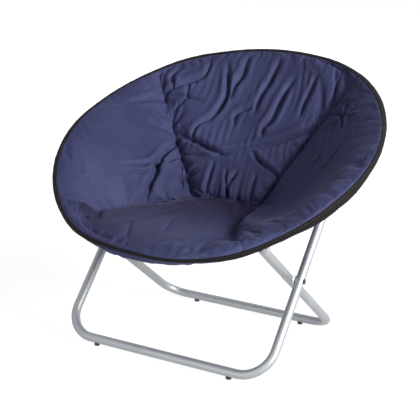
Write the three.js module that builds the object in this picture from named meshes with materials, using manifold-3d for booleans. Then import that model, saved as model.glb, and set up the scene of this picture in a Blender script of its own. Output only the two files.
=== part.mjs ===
// Folding saucer chair: a padded bowl hung in a steel ring, which stands on two crossed U-shaped legs.
// Millimetres, +Z up. The sitter faces -Y, and the origin is on the floor under the middle of the chair.
// The ring is two hoops hinged to each other, so the bowl closes upwards as the legs come together.
import * as THREE from "three";
import { mergeVertices } from "three/addons/utils/BufferGeometryUtils.js";
import Module from "manifold-3d";

const wasm = await Module();
wasm.setup();

const radians = THREE.MathUtils.degToRad;

// Steel tube, used for the legs and the ring
const tubeDiameter = 22;
const tubeWall = 1.5;

// Front leg frame: its bar lies on the floor in front and its legs lean back
const frontHalfWidth = 275;
const frontBarY = -209;
const frontLean = radians(38.9);
const frontBendRadius = 73;
const frontPivotReach = 770;

// Rear leg frame: its bar lies behind and its legs lean forward, inside the front frame.
// The front hoop sets how long its legs are and where its bar lies.
const rearLean = radians(56.1);
const rearBendRadius = 58;

// Feet: round glides under the bars
const footHeight = 6;
const footDiameter = 14;
const footEdge = 1.5;
const frontFootX = 183;
const rearFootX = 159;

// Ring of two hoops
const ringRadius = 400;
const rearHoopTilt = radians(29.4);
const frontHoopTilt = radians(34.5);
const hingeOffset = 160;
const hoopEndGap = 32;

// Each leg's end lies below the plane of the hoop that it carries, and a little behind its axis
const rearPivotDrop = 30.2;
const rearPivotBehind = 7.7;
const frontPivotDrop = 35.4;
const frontPivotBehind = 15.1;

// Fits: the gap between pieces that touch, between the panels, and round a bolt
const pieceGap = 0.3;
const seamGap = 0.6;
const boltClearance = 0.3;

// Crossing pivot of the legs
const spacerThickness = 4.3;
const spacerDiameter = 21;
const crossHeadHeight = 2.2;
const boltDiameter = 6;
const boltHeadDiameter = 13;
const boltHeadHeight = 3.5;
const boltHeadEdge = 2.1;
const boltHeadCrown = 6.5;
const boltOverrun = 2;
const nutAcrossFlats = 10;
const nutHeight = 5;

// Leg ends and the plates that join them to the hoops
const legEndBeyondPivot = 6.3;
const plugFlange = 1.6;
const plugChamfer = 3;
const plugShank = 3;
const bracketThickness = 3;
const bracketRadius = 9;

// Ring hinge
const strapThickness = 4;
const strapHeight = 14;
const strapBeyondPin = 8;
const strapInTube = 26;
const rivetDiameter = 5;
const rivetHeadDiameter = 10;
const rivetHeadHeight = 2.2;

// Fabric sleeve round the ring
const sleeveThickness = 2.4;
const sleeveEndGap = 0.8;
const sleevePadGap = 0.9;

// Padded bowl of four sewn panels
const bowlDepth = 186;
const bowlCornerX = 91;
const bowlCornerForward = 26;
const backSeamLeft = radians(39);
const backSeamRight = radians(48);
const frontSeam = radians(57);
const sideFullness = 1.3;
const frontFullness = 1.9;
const seamPadThickness = 12;
const rimPadThickness = 17;
const rimSharpness = 4;
const crownInside = 15;
const crownOutside = 11;
const panelTip = 4;
const legClearance = 4;
const leastPad = 8;
const dentWidth = 30;
const foldBlend = 150;

// Mesh fineness
const tubeSides = 12;
const bendSteps = 7;
const hoopStep = radians(6);
const padRows = 9;
const padColumnStep = radians(8);
const leastColumns = 4;
const roundSides = 16;

// Cuts run past what they cut by this much
const overrun = 3;

const tubeRadius = tubeDiameter / 2;
const boreRadius = tubeRadius - tubeWall;
const barHeight = footHeight + tubeRadius;
const rearHalfWidth = frontHalfWidth - tubeDiameter - spacerThickness - 2 * pieceGap;
const sleeveInner = tubeRadius + pieceGap;
const sleeveOuter = sleeveInner + sleeveThickness;
const boltRadius = boltDiameter / 2;
const boltHole = boltRadius + boltClearance;

// Materials
const steel = new THREE.MeshStandardMaterial({ color: 0xb4bac4, roughness: 0.35, metalness: 0.6 });
const zinc = new THREE.MeshStandardMaterial({ color: 0xc2c5c8, roughness: 0.3, metalness: 0.9 });
const darkPlastic = new THREE.MeshStandardMaterial({ color: 0x2b2e33, roughness: 0.6, metalness: 0 });
const nylon = new THREE.MeshStandardMaterial({ color: 0xd9e6e2, roughness: 0.5, metalness: 0 });
const sleeveFabric = new THREE.MeshStandardMaterial({ color: 0x2a2728, roughness: 0.9, metalness: 0 });
const padFabric = new THREE.MeshStandardMaterial({ color: 0x40446e, roughness: 0.8, metalness: 0 });

// Side profile: points and directions in the plane of +Y and +Z
const sideways = new THREE.Vector3(1, 0, 0);
const frontBar = new THREE.Vector2(frontBarY, barHeight);
const frontLegDir = new THREE.Vector2(Math.sin(frontLean), Math.cos(frontLean));
const rearLegDir = new THREE.Vector2(-Math.sin(rearLean), Math.cos(rearLean));
const rearHoopBack = new THREE.Vector2(Math.cos(rearHoopTilt), Math.sin(rearHoopTilt));
const frontHoopBack = new THREE.Vector2(Math.cos(frontHoopTilt), Math.sin(frontHoopTilt));
const rearHoopUp = quarterTurn(rearHoopBack);
const frontHoopUp = quarterTurn(frontHoopBack);

function quarterTurn(v) {
  return new THREE.Vector2(-v.y, v.x);
}

function along(start, direction, distance) {
  return start.clone().addScaledVector(direction, distance);
}

function crossing(a, u, b, v) {
  const between = b.clone().sub(a);
  return along(a, u, between.cross(v) / u.cross(v));
}

function inSpace(x, profile) {
  return new THREE.Vector3(x, profile.x, profile.y);
}

// How far the ring's axis lies in front of or behind its centre at a distance to the side
function reachAt(x) {
  return Math.sqrt(ringRadius ** 2 - x ** 2);
}

const rearPlateX = frontHalfWidth + tubeRadius + pieceGap + bracketThickness / 2;
const frontPlateX = rearHalfWidth + tubeRadius + pieceGap + bracketThickness / 2;
const rearPivotFromCentre = reachAt(rearPlateX) + rearPivotBehind;
const frontPivotPastHinge = reachAt(frontPlateX) - frontPivotBehind - hingeOffset;

// The front legs carry the rear hoop, the front hoop is hinged to it, and the rear legs hold that up
const rearHoopPivot = along(frontBar, frontLegDir, frontPivotReach);
const ringCentre = along(
  along(rearHoopPivot, rearHoopUp, rearPivotDrop),
  rearHoopBack,
  -rearPivotFromCentre,
);
const ringHinge = along(ringCentre, rearHoopBack, -hingeOffset);
const hingeX = reachAt(hingeOffset);
const frontHoopPivot = along(
  along(ringHinge, frontHoopBack, -frontPivotPastHinge),
  frontHoopUp,
  -frontPivotDrop,
);
const rearLegLength = (frontHoopPivot.y - barHeight) / rearLegDir.y;
const rearBar = along(frontHoopPivot, rearLegDir, -rearLegLength);
const crossPivot = crossing(frontBar, frontLegDir, rearBar, rearLegDir);

// The ring's own coordinates: x to the side, forward from its centre, and depth below it.
// The two hoops meet at the hinge line, and depths there turn smoothly from one to the other.
function hoopPoint(forward) {
  if (forward <= hingeOffset) return along(ringCentre, rearHoopBack, -forward);
  return along(ringHinge, frontHoopBack, hingeOffset - forward);
}

function ringPoint(x, forward, depth) {
  const share = THREE.MathUtils.smoothstep(forward, hingeOffset - foldBlend, hingeOffset + foldBlend);
  const up = rearHoopUp.clone().lerp(frontHoopUp, share).normalize();
  return inSpace(x, along(hoopPoint(forward), up, -depth));
}

// Conversions between meshes and solids, for cuts and joins
function toSolid(geometry) {
  const bare = geometry.index ? geometry.toNonIndexed() : geometry.clone();
  bare.deleteAttribute("normal");
  bare.deleteAttribute("uv");
  const merged = mergeVertices(bare);
  return new wasm.Manifold(
    new wasm.Mesh({
      numProp: 3,
      vertProperties: merged.attributes.position.array,
      triVerts: new Uint32Array(merged.index.array),
    }),
  );
}

function toGeometry(solid) {
  const mesh = solid.getMesh();
  const geometry = new THREE.BufferGeometry();
  geometry.setAttribute("position", new THREE.BufferAttribute(mesh.vertProperties, 3));
  geometry.setIndex(new THREE.BufferAttribute(mesh.triVerts, 1));
  geometry.computeVertexNormals();
  return geometry;
}

function cut(geometry, tools) {
  return toGeometry(tools.reduce((solid, tool) => solid.subtract(toSolid(tool)), toSolid(geometry)));
}

// A path given by its stations, so that straight runs take one step and bends take several.
// Its points and tangents are asked for only at the stations.
class StationPath extends THREE.Curve {
  constructor(stations) {
    super();
    this.stations = stations;
  }

  getPoint(t) {
    return this.stations[Math.round(t * (this.stations.length - 1))].point.clone();
  }

  getTangent(t) {
    return this.stations[Math.round(t * (this.stations.length - 1))].tangent.clone();
  }

  getPointAt(u) {
    return this.getPoint(u);
  }

  getTangentAt(u) {
    return this.getTangent(u);
  }

  getSpacedPoints(divisions) {
    return this.getPoints(divisions);
  }
}

function sweep(stations, outer, inner) {
  const section = new THREE.Shape().absarc(0, 0, outer, 0, 2 * Math.PI);
  if (inner > 0) section.holes.push(new THREE.Path().absarc(0, 0, inner, 0, 2 * Math.PI, true));
  return new THREE.ExtrudeGeometry(section, {
    steps: stations.length - 1,
    extrudePath: new StationPath(stations),
    curveSegments: tubeSides / 2,
  });
}

// Stations of a U frame, from the left leg's end down, along the bar and up the right leg
function legStations(bar, direction, halfWidth, bendRadius, reach) {
  const station = (x, rise, tangentX, tangentRise) => ({
    point: inSpace(x, along(bar, direction, rise)),
    tangent: inSpace(tangentX, direction.clone().multiplyScalar(tangentRise)),
  });
  const right = [];
  for (let i = 0; i <= bendSteps; i++) {
    const turn = ((Math.PI / 2) * i) / bendSteps;
    const x = halfWidth - bendRadius + bendRadius * Math.sin(turn);
    const rise = bendRadius - bendRadius * Math.cos(turn);
    right.push(station(x, rise, Math.cos(turn), Math.sin(turn)));
  }
  right.push(station(halfWidth, reach, 0, 1));
  const left = right.map(({ point, tangent }) => ({
    point: point.clone().setX(-point.x),
    tangent: tangent.clone().negate().setX(tangent.x),
  }));
  return [...left.reverse(), ...right];
}

// Stations of a hoop along the ring, from its right end to its left end, on one side of the hinge line.
// Ring angles are counted from the right side towards the front.
// A sleeve runs on past the steel to the hinge.
const frontSide = 1;
const rearSide = -1;

function hoopAngle(distanceFromHinge) {
  return Math.asin((hingeOffset + distanceFromHinge) / ringRadius);
}

function hoopStations(side, endGap) {
  const steelEnd = hoopAngle(side * hoopEndGap);
  const turn = side * Math.PI - 2 * steelEnd;
  const steps = Math.ceil(Math.abs(turn) / hoopStep);
  const angles = [];
  for (let i = 0; i <= steps; i++) angles.push(steelEnd + (turn * i) / steps);
  if (endGap < hoopEndGap) {
    const end = hoopAngle(side * endGap);
    angles.unshift(end);
    angles.push(side * Math.PI - end);
  }
  const back = side > 0 ? frontHoopBack : rearHoopBack;
  return angles.map((angle) => ({
    point: inSpace(ringRadius * Math.cos(angle), hoopPoint(ringRadius * Math.sin(angle))),
    tangent: inSpace(-side * Math.sin(angle), back.clone().multiplyScalar(-side * Math.cos(angle))),
  }));
}

// A round bar or turned piece along X; its profile is [distance, radius] from the axis and back to it
function turned(profile, place) {
  const points = profile.map(([distance, radius]) => new THREE.Vector2(radius, distance));
  const geometry = new THREE.LatheGeometry(points, roundSides);
  geometry.rotateZ(-Math.PI / 2);
  return geometry.translate(place.x, place.y, place.z);
}

function rod(radius, from, to, profile) {
  const length = to - from;
  const points = [
    [0, 0],
    [0, radius],
    [length, radius],
    [length, 0],
  ];
  return turned(points, inSpace(from, profile));
}

function mirrored(geometry) {
  const copy = geometry.clone().scale(-1, 1, 1);
  const index = copy.index.array;
  for (let i = 0; i < index.length; i += 3) {
    [index[i + 1], index[i + 2]] = [index[i + 2], index[i + 1]];
  }
  copy.computeVertexNormals();
  return copy;
}

const chair = new THREE.Group();

function add(name, geometry, material) {
  const mesh = new THREE.Mesh(geometry, material);
  mesh.name = name;
  chair.add(mesh);
}

// A piece made for the right side and its mirror image on the left
function addPair(name, geometry, material) {
  const indexed = geometry.index ? geometry : mergeVertices(geometry);
  add(`${name}_right`, indexed, material);
  add(`${name}_left`, mirrored(indexed), material);
}

// Leg frames, drilled for the crossing bolts and for the bolts at their ends
function legFrame(bar, direction, halfWidth, bendRadius, pivotReach) {
  const stations = legStations(bar, direction, halfWidth, bendRadius, pivotReach + legEndBeyondPivot);
  const reachX = halfWidth + tubeRadius + overrun;
  const holes = [crossPivot, along(bar, direction, pivotReach)].map((place) =>
    rod(boltHole, -reachX, reachX, place),
  );
  return cut(sweep(stations, tubeRadius, boreRadius), holes);
}

function legPlug(bar, direction, halfWidth, pivotReach) {
  const flangeStart = pieceGap;
  const shankRadius = boreRadius - pieceGap;
  const profile = [
    [-plugShank, 0],
    [-plugShank, shankRadius],
    [flangeStart, shankRadius],
    [flangeStart, tubeRadius],
    [flangeStart + plugFlange, tubeRadius - plugChamfer],
    [flangeStart + plugFlange, 0],
  ];
  const points = profile.map(([distance, radius]) => new THREE.Vector2(radius, distance));
  const geometry = new THREE.LatheGeometry(points, tubeSides);
  const upwards = new THREE.Vector3(0, 1, 0);
  geometry.applyQuaternion(
    new THREE.Quaternion().setFromUnitVectors(upwards, inSpace(0, direction)),
  );
  const end = inSpace(halfWidth, along(bar, direction, pivotReach + legEndBeyondPivot));
  return geometry.translate(end.x, end.y, end.z);
}

const frontFrame = legFrame(frontBar, frontLegDir, frontHalfWidth, frontBendRadius, frontPivotReach);
const rearFrame = legFrame(rearBar, rearLegDir, rearHalfWidth, rearBendRadius, rearLegLength);
add("front_leg_frame", frontFrame, steel);
add("rear_leg_frame", rearFrame, steel);
addPair("front_leg_plug", legPlug(frontBar, frontLegDir, frontHalfWidth, frontPivotReach), darkPlastic);
addPair("rear_leg_plug", legPlug(rearBar, rearLegDir, rearHalfWidth, rearLegLength), darkPlastic);

// Feet: short studs whose tops fit the bars from below
function foot(x, bar) {
  const radius = footDiameter / 2;
  const top = barHeight - tubeRadius / 2;
  const profile = [
    [0, 0],
    [radius - footEdge, 0],
    [radius, footEdge],
    [radius, top],
    [0, top],
  ];
  const points = profile.map(([distance, height]) => new THREE.Vector2(distance, height));
  const stud = new THREE.LatheGeometry(points, roundSides);
  stud.rotateX(Math.PI / 2);
  stud.translate(x, bar.x, 0);
  return cut(stud, [rod(tubeRadius + pieceGap, x - footDiameter, x + footDiameter, bar)]);
}

addPair("front_foot", foot(frontFootX, frontBar), darkPlastic);
addPair("rear_foot", foot(rearFootX, rearBar), darkPlastic);

// Bolts along X: a low domed head outside, a nut on the other end
function bolt(outerFace, innerFace, place, headHeight = boltHeadHeight) {
  const headStart = outerFace + pieceGap;
  const edgeHeight = (headHeight * boltHeadEdge) / boltHeadHeight;
  const shankEnd = innerFace - nutHeight - boltOverrun;
  return turned(
    [
      [shankEnd, 0],
      [shankEnd, boltRadius],
      [headStart, boltRadius],
      [headStart, boltHeadDiameter / 2],
      [headStart + edgeHeight, boltHeadDiameter / 2],
      [headStart + headHeight, boltHeadCrown / 2],
      [headStart + headHeight, 0],
    ],
    inSpace(0, place),
  );
}

function nut(innerFace, place) {
  const corner = nutAcrossFlats / Math.sqrt(3);
  const outline = new THREE.Shape();
  for (let i = 0; i < 6; i++) {
    const angle = (i * Math.PI) / 3;
    const move = i === 0 ? "moveTo" : "lineTo";
    outline[move](corner * Math.cos(angle), corner * Math.sin(angle));
  }
  outline.closePath();
  outline.holes.push(new THREE.Path().absarc(0, 0, boltHole, 0, 2 * Math.PI, true));
  const geometry = new THREE.ExtrudeGeometry(outline, {
    depth: nutHeight,
    bevelEnabled: false,
    curveSegments: roundSides / 2,
  });
  geometry.rotateY(Math.PI / 2);
  return geometry.translate(innerFace - pieceGap - nutHeight, place.x, place.y);
}

const frontLegOuter = frontHalfWidth + tubeRadius;
const frontLegInner = frontHalfWidth - tubeRadius;
const rearLegOuter = rearHalfWidth + tubeRadius;
const rearLegInner = rearHalfWidth - tubeRadius;

addPair("cross_bolt", bolt(frontLegOuter, rearLegInner, crossPivot, crossHeadHeight), darkPlastic);
addPair("cross_nut", nut(rearLegInner, crossPivot), zinc);

function spacer(place) {
  const start = rearLegOuter + pieceGap;
  const ring = [
    [start, boltHole],
    [start, spacerDiameter / 2],
    [start + spacerThickness, spacerDiameter / 2],
    [start + spacerThickness, boltHole],
    [start, boltHole],
  ];
  return turned(ring, inSpace(0, place));
}

addPair("cross_spacer", spacer(crossPivot), nylon);

// Plates that hang from a hoop and carry the bolt of a leg's end, on the leg's outer side
function bracket(legOuter, pivot, sign) {
  const start = legOuter + pieceGap;
  const seat = hoopPoint(sign * reachAt(start + bracketThickness / 2));
  const reach = seat.clone().sub(pivot);
  const length = reach.length();
  const outline = new THREE.Shape();
  outline.absarc(0, 0, bracketRadius, Math.PI / 2, (3 * Math.PI) / 2, false);
  outline.absarc(length, 0, bracketRadius, -Math.PI / 2, Math.PI / 2, false);
  outline.closePath();
  outline.holes.push(new THREE.Path().absarc(0, 0, boltHole, 0, 2 * Math.PI, true));
  const geometry = new THREE.ExtrudeGeometry(outline, {
    depth: bracketThickness,
    bevelEnabled: false,
    curveSegments: roundSides / 2,
  });
  const frame = new THREE.Matrix4().makeBasis(
    inSpace(0, reach.clone().normalize()),
    inSpace(0, quarterTurn(reach).normalize()),
    sideways,
  );
  geometry.applyMatrix4(frame);
  return geometry.translate(start, pivot.x, pivot.y);
}

const hoopClearance = tubeRadius + pieceGap;
const rearHoopEnvelope = sweep(hoopStations(rearSide, hoopEndGap), hoopClearance, 0);
const frontHoopEnvelope = sweep(hoopStations(frontSide, hoopEndGap), hoopClearance, 0);
const rearBracket = bracket(frontLegOuter, rearHoopPivot, -1);
const frontBracket = bracket(rearLegOuter, frontHoopPivot, 1);

addPair("rear_hoop_bracket", cut(rearBracket, [rearHoopEnvelope]), steel);
addPair("front_hoop_bracket", cut(frontBracket, [frontHoopEnvelope]), steel);

// The rear hoop turns on a bolt right through its bracket and the front leg
addPair(
  "rear_hoop_bolt",
  bolt(frontLegOuter + pieceGap + bracketThickness, frontLegInner, rearHoopPivot),
  zinc,
);
addPair("rear_hoop_nut", nut(frontLegInner, rearHoopPivot), zinc);

// At the front hoop the bolt is in two halves that meet between the rear leg and the bracket
function pin(from, to, headSide, place) {
  const headRadius = boltHeadDiameter / 2;
  const head = headSide * boltHeadHeight;
  const start = headSide > 0 ? from : to;
  const shoulder = headSide > 0 ? to : from;
  const points = [
    [start, 0],
    [start, boltRadius],
    [shoulder, boltRadius],
    [shoulder, headRadius],
    [shoulder + head, headRadius],
    [shoulder + head, 0],
  ];
  return turned(headSide > 0 ? points : points.reverse(), inSpace(0, place));
}

const bracketInner = rearLegOuter + pieceGap;
addPair("rear_leg_pin", pin(rearLegInner - pieceGap, rearLegOuter, -1, frontHoopPivot), zinc);
addPair(
  "front_hoop_bolt",
  pin(bracketInner, bracketInner + bracketThickness + pieceGap, 1, frontHoopPivot),
  zinc,
);

// Hoops of the ring
add("rear_hoop", sweep(hoopStations(rearSide, hoopEndGap), tubeRadius, boreRadius), steel);
add("front_hoop", sweep(hoopStations(frontSide, hoopEndGap), tubeRadius, boreRadius), steel);

// Ring hinge: one strap from each hoop's end, side by side on a rivet
function strap(side, back, up) {
  const outward = side < 0 ? 1 : -1;
  const face = hingeX + outward * (pieceGap / 2);
  const far = face + outward * strapThickness;
  const tubeStart = hingeOffset + side * hoopEndGap;
  const tubeFar = hingeOffset + side * (hoopEndGap + strapInTube);
  const half = strapThickness / 2;
  const middle = (face + far) / 2;
  const pinEnd = hingeOffset - side * strapBeyondPin;
  const jog = hingeOffset + side * strapBeyondPin;
  const line = [
    [middle, pinEnd],
    [middle, jog],
    [reachAt(tubeStart), tubeStart],
    [reachAt(tubeFar), tubeFar],
  ];
  const outline = new THREE.Shape();
  line.forEach(([x, forward], i) => outline[i === 0 ? "moveTo" : "lineTo"](x - half, forward));
  line.reverse().forEach(([x, forward]) => outline.lineTo(x + half, forward));
  outline.closePath();
  const geometry = new THREE.ExtrudeGeometry(outline, { depth: strapHeight, bevelEnabled: false });
  geometry.translate(0, -hingeOffset, -strapHeight / 2);
  const frame = new THREE.Matrix4().makeBasis(
    sideways,
    inSpace(0, back.clone().negate()),
    inSpace(0, up.clone().negate()),
  );
  geometry.applyMatrix4(frame);
  geometry.translate(0, ringHinge.x, ringHinge.y);
  return geometry;
}

const rivetInner = hingeX - pieceGap / 2 - strapThickness - pieceGap;
const rivetOuter = hingeX + pieceGap / 2 + strapThickness + pieceGap;
const rivetHole = rod(rivetDiameter / 2 + pieceGap, rivetInner - overrun, rivetOuter + overrun, ringHinge);

function rivet() {
  const radius = rivetDiameter / 2;
  const headRadius = rivetHeadDiameter / 2;
  return turned(
    [
      [rivetInner - rivetHeadHeight, 0],
      [rivetInner - rivetHeadHeight, headRadius],
      [rivetInner, headRadius],
      [rivetInner, radius],
      [rivetOuter, radius],
      [rivetOuter, headRadius],
      [rivetOuter + rivetHeadHeight, headRadius],
      [rivetOuter + rivetHeadHeight, 0],
    ],
    inSpace(0, ringHinge),
  );
}

addPair("rear_hinge_strap", cut(strap(-1, rearHoopBack, rearHoopUp), [rivetHole]), steel);
addPair("front_hinge_strap", cut(strap(1, frontHoopBack, frontHoopUp), [rivetHole]), steel);
addPair("hinge_rivet", rivet(), zinc);

// Sleeves of dark fabric round the hoops, slit where the brackets leave them
function bracketSlit(plate, legOuter, pivot) {
  const grown = toSolid(plate);
  const place = inSpace(legOuter + pieceGap + bracketThickness / 2, pivot);
  const width = (bracketThickness + 2 * pieceGap) / bracketThickness;
  const height = (bracketRadius + pieceGap) / bracketRadius;
  const scaled = grown.translate(place.clone().negate().toArray()).scale([width, height, height]);
  return toGeometry(scaled.translate(place.toArray()));
}

function sleeve(stations, plate, legOuter, pivot) {
  const slit = bracketSlit(plate, legOuter, pivot);
  return cut(sweep(stations, sleeveOuter, sleeveInner), [slit, mirrored(slit)]);
}

const rearSleevePath = hoopStations(rearSide, sleeveEndGap);
const frontSleevePath = hoopStations(frontSide, sleeveEndGap);
add("rear_sleeve", sleeve(rearSleevePath, rearBracket, frontLegOuter, rearHoopPivot), sleeveFabric);
add("front_sleeve", sleeve(frontSleevePath, frontBracket, rearLegOuter, frontHoopPivot), sleeveFabric);

// Padded bowl. A leg that lies close under the bowl presses a shallow dent into it.
const padEdgeRadius = ringRadius - sleeveOuter - sleevePadGap;

function legUnderRing(x, end, direction, back, up) {
  const fromCentre = end.clone().sub(ringCentre);
  const slope = direction.dot(up) / direction.dot(back);
  return {
    x,
    forward: -fromCentre.dot(back),
    depth: -fromCentre.dot(up),
    slope,
    lift: tubeRadius * Math.sqrt(1 + slope ** 2),
  };
}

const legsUnderRing = [
  legUnderRing(
    frontHalfWidth,
    along(rearHoopPivot, frontLegDir, legEndBeyondPivot),
    frontLegDir,
    rearHoopBack,
    rearHoopUp,
  ),
  legUnderRing(
    rearHalfWidth,
    along(frontHoopPivot, rearLegDir, legEndBeyondPivot),
    rearLegDir,
    frontHoopBack,
    frontHoopUp,
  ),
];

function deepestAllowed(x, forward) {
  return Math.min(
    ...legsUnderRing.map((leg) => {
      const aside = Math.max(0, Math.abs(Math.abs(x) - leg.x) - dentWidth);
      const endDepth = leg.depth - tubeRadius;
      const axisDepth = leg.depth + (forward - leg.forward) * leg.slope;
      const limit = Math.max(endDepth, axisDepth - leg.lift) - legClearance;
      return limit + (aside * aside) / dentWidth;
    }),
  );
}

// Bowl depth where rho is the share of the way from the bottom to the rim at the given ring angle
function bowlDepthAt(rho, angle) {
  const frontShare = THREE.MathUtils.smoothstep(Math.sin(angle), 0, Math.sin(frontSeam));
  const fullness = THREE.MathUtils.lerp(sideFullness, frontFullness, frontShare);
  return bowlDepth * (1 - rho ** fullness);
}

function rimAt(angle) {
  return new THREE.Vector2(Math.cos(angle), Math.sin(angle)).multiplyScalar(padEdgeRadius);
}

// A seam runs straight, in plan, from a corner of the bowl's bottom to the rim
function seam(cornerSide, angle) {
  const corner = new THREE.Vector2(cornerSide * bowlCornerX, bowlCornerForward);
  const rim = rimAt(angle);
  return { corner, rim, angle, direction: rim.clone().sub(corner).normalize() };
}

function padPanel(first, last, bottomSide) {
  const columns = Math.max(leastColumns, Math.round(Math.abs(last.angle - first.angle) / padColumnStep));
  const edge = (line, side) => {
    const inward = quarterTurn(line.direction).multiplyScalar((side * seamGap) / 2);
    const start = line.corner.clone().add(inward);
    if (bottomSide === 0) start.addScaledVector(line.direction, panelTip);
    else start.y += (bottomSide * seamGap) / 2;
    const shift = inward.length() / padEdgeRadius;
    return { start, angle: line.angle + side * shift };
  };
  const turn = Math.sign(last.angle - first.angle);
  const from = edge(first, turn);
  const to = edge(last, -turn);
  const grid = [];
  for (let i = 0; i <= padRows; i++) {
    for (let j = 0; j <= columns; j++) {
      const across = j / columns;
      const angle = THREE.MathUtils.lerp(from.angle, to.angle, across);
      const plan = from.start.clone().lerp(to.start, across).lerp(rimAt(angle), i / padRows);
      grid.push(padPoint(plan, angle, across, i / padRows));
    }
  }
  return padSolid(grid, columns);
}

function padPoint(plan, angle, across, outwards) {
  const rho = (outwards * padEdgeRadius) / ringRadius;
  const crown = Math.sqrt(Math.sin(Math.PI * across) * Math.sin(Math.PI * outwards));
  const edgeThickness = THREE.MathUtils.lerp(seamPadThickness, rimPadThickness, outwards ** rimSharpness);
  const depth = bowlDepthAt(rho, angle);
  const allowed = deepestAllowed(plan.x, plan.y);
  const under = Math.min(depth + edgeThickness / 2 + crown * crownOutside, allowed);
  const over = Math.min(depth - edgeThickness / 2 - crown * crownInside, under - leastPad);
  return { over: ringPoint(plan.x, plan.y, over), under: ringPoint(plan.x, plan.y, under) };
}

function padSolid(grid, columns) {
  const corners = [...grid.map((p) => p.over), ...grid.map((p) => p.under)];
  const positions = corners.flatMap((corner) => corner.toArray());
  const lower = grid.length;
  const faces = [];
  const quad = (a, b, c, d) => faces.push(a, c, b, a, d, c);
  const at = (i, j) => i * (columns + 1) + j;
  for (let i = 0; i < padRows; i++) {
    for (let j = 0; j < columns; j++) {
      quad(at(i, j), at(i + 1, j), at(i + 1, j + 1), at(i, j + 1));
      quad(lower + at(i, j), lower + at(i, j + 1), lower + at(i + 1, j + 1), lower + at(i + 1, j));
    }
    quad(at(i, 0), lower + at(i, 0), lower + at(i + 1, 0), at(i + 1, 0));
    quad(at(i + 1, columns), lower + at(i + 1, columns), lower + at(i, columns), at(i, columns));
  }
  for (let j = 0; j < columns; j++) {
    quad(at(0, j + 1), lower + at(0, j + 1), lower + at(0, j), at(0, j));
    quad(at(padRows, j), lower + at(padRows, j), lower + at(padRows, j + 1), at(padRows, j + 1));
  }
  const geometry = new THREE.BufferGeometry();
  geometry.setAttribute("position", new THREE.Float32BufferAttribute(positions, 3));
  geometry.setIndex(faces);
  geometry.computeVertexNormals();
  return geometry;
}

// The back of the ring is at an angle of -90 degrees
const hingeAngle = hoopAngle(0);
const rightSeams = {
  back: seam(1, -backSeamRight),
  hinge: seam(1, hingeAngle),
  front: seam(1, frontSeam),
};
const leftSeams = {
  back: seam(-1, backSeamLeft - Math.PI),
  backAgain: seam(-1, Math.PI + backSeamLeft),
  hinge: seam(-1, Math.PI - hingeAngle),
  front: seam(-1, Math.PI - frontSeam),
};

add("pad_back", padPanel(leftSeams.back, rightSeams.back, -1), padFabric);
add("pad_right_rear", padPanel(rightSeams.back, rightSeams.hinge, 0), padFabric);
add("pad_right_front", padPanel(rightSeams.hinge, rightSeams.front, 0), padFabric);
add("pad_front", padPanel(rightSeams.front, leftSeams.front, 1), padFabric);
add("pad_left_front", padPanel(leftSeams.front, leftSeams.hinge, 0), padFabric);
add("pad_left_rear", padPanel(leftSeams.hinge, leftSeams.backAgain, 0), padFabric);

// The chair is set with its box centred over the origin
const box = new THREE.Box3().setFromObject(chair, true);
const middle = box.getCenter(new THREE.Vector3());
chair.position.set(-middle.x, -middle.y, -box.min.z);

export default chair;
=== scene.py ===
"""Folding saucer chair: a padded four-panel bowl in a ring of two hinged hoops, on crossed U frames of tube.

Laid out as an add-on and run as a script. Lengths are in metres in the part's frame. The bowl is worked out
in millimetres on its ring's plan: x to the side, and forward from the ring's centre.
"""
import math

import bpy
import numpy as np
from mathutils import Matrix, Vector


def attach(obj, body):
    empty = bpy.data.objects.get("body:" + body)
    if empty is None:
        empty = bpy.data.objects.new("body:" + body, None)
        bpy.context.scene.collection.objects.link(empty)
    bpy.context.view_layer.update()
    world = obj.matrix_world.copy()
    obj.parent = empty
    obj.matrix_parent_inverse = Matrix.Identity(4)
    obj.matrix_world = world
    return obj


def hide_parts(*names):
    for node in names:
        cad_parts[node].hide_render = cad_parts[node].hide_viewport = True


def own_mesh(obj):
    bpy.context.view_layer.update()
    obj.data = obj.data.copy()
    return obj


bl_info = {
    "name": "Folding saucer chair",
    "version": (1, 0, 0),
    "blender": (4, 5, 0),
    "location": "View3D > Sidebar > Saucer Chair",
    "description": "Builds the visible pieces of a folding saucer chair round its packed solids",
    "category": "Add Mesh",
}

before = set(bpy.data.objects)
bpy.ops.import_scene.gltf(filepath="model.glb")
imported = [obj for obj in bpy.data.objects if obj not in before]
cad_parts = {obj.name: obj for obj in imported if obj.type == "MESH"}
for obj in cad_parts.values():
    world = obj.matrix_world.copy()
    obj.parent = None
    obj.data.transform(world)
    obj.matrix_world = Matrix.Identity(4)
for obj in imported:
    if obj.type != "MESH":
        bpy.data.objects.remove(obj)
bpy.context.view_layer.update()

MM = 0.001

# The part's own geometry, in millimetres. Places are Y, before the part was centred, and Z
PART_SHIFT_Y = -16.633285
RING_CENTRE = np.array((10.977352, 502.406344))
RING_HINGE = np.array((-128.416857, 423.861744))
RING_RADIUS = 400.0
HINGE_OFFSET = 160.0
HINGE_ANGLE = math.asin(HINGE_OFFSET / RING_RADIUS)
HOOP_END_GAP = 32.0
SLEEVE_END_GAP = 0.8
BINDING_END_GAP = 0.4
REAR_TILT = math.radians(29.4)
FRONT_TILT = math.radians(34.5)
TUBE_RADIUS = 11
BAR_HEIGHT = 17.0
FRONT_LEG = dict(half_width=275.0, bend=73.0, lean=math.radians(38.9), reach=776.3, bar_y=-209.0)
REAR_LEG = dict(half_width=248.1, bend=58.0, lean=math.radians(-56.1), reach=553.378128, bar_y=240.1436)

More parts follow.
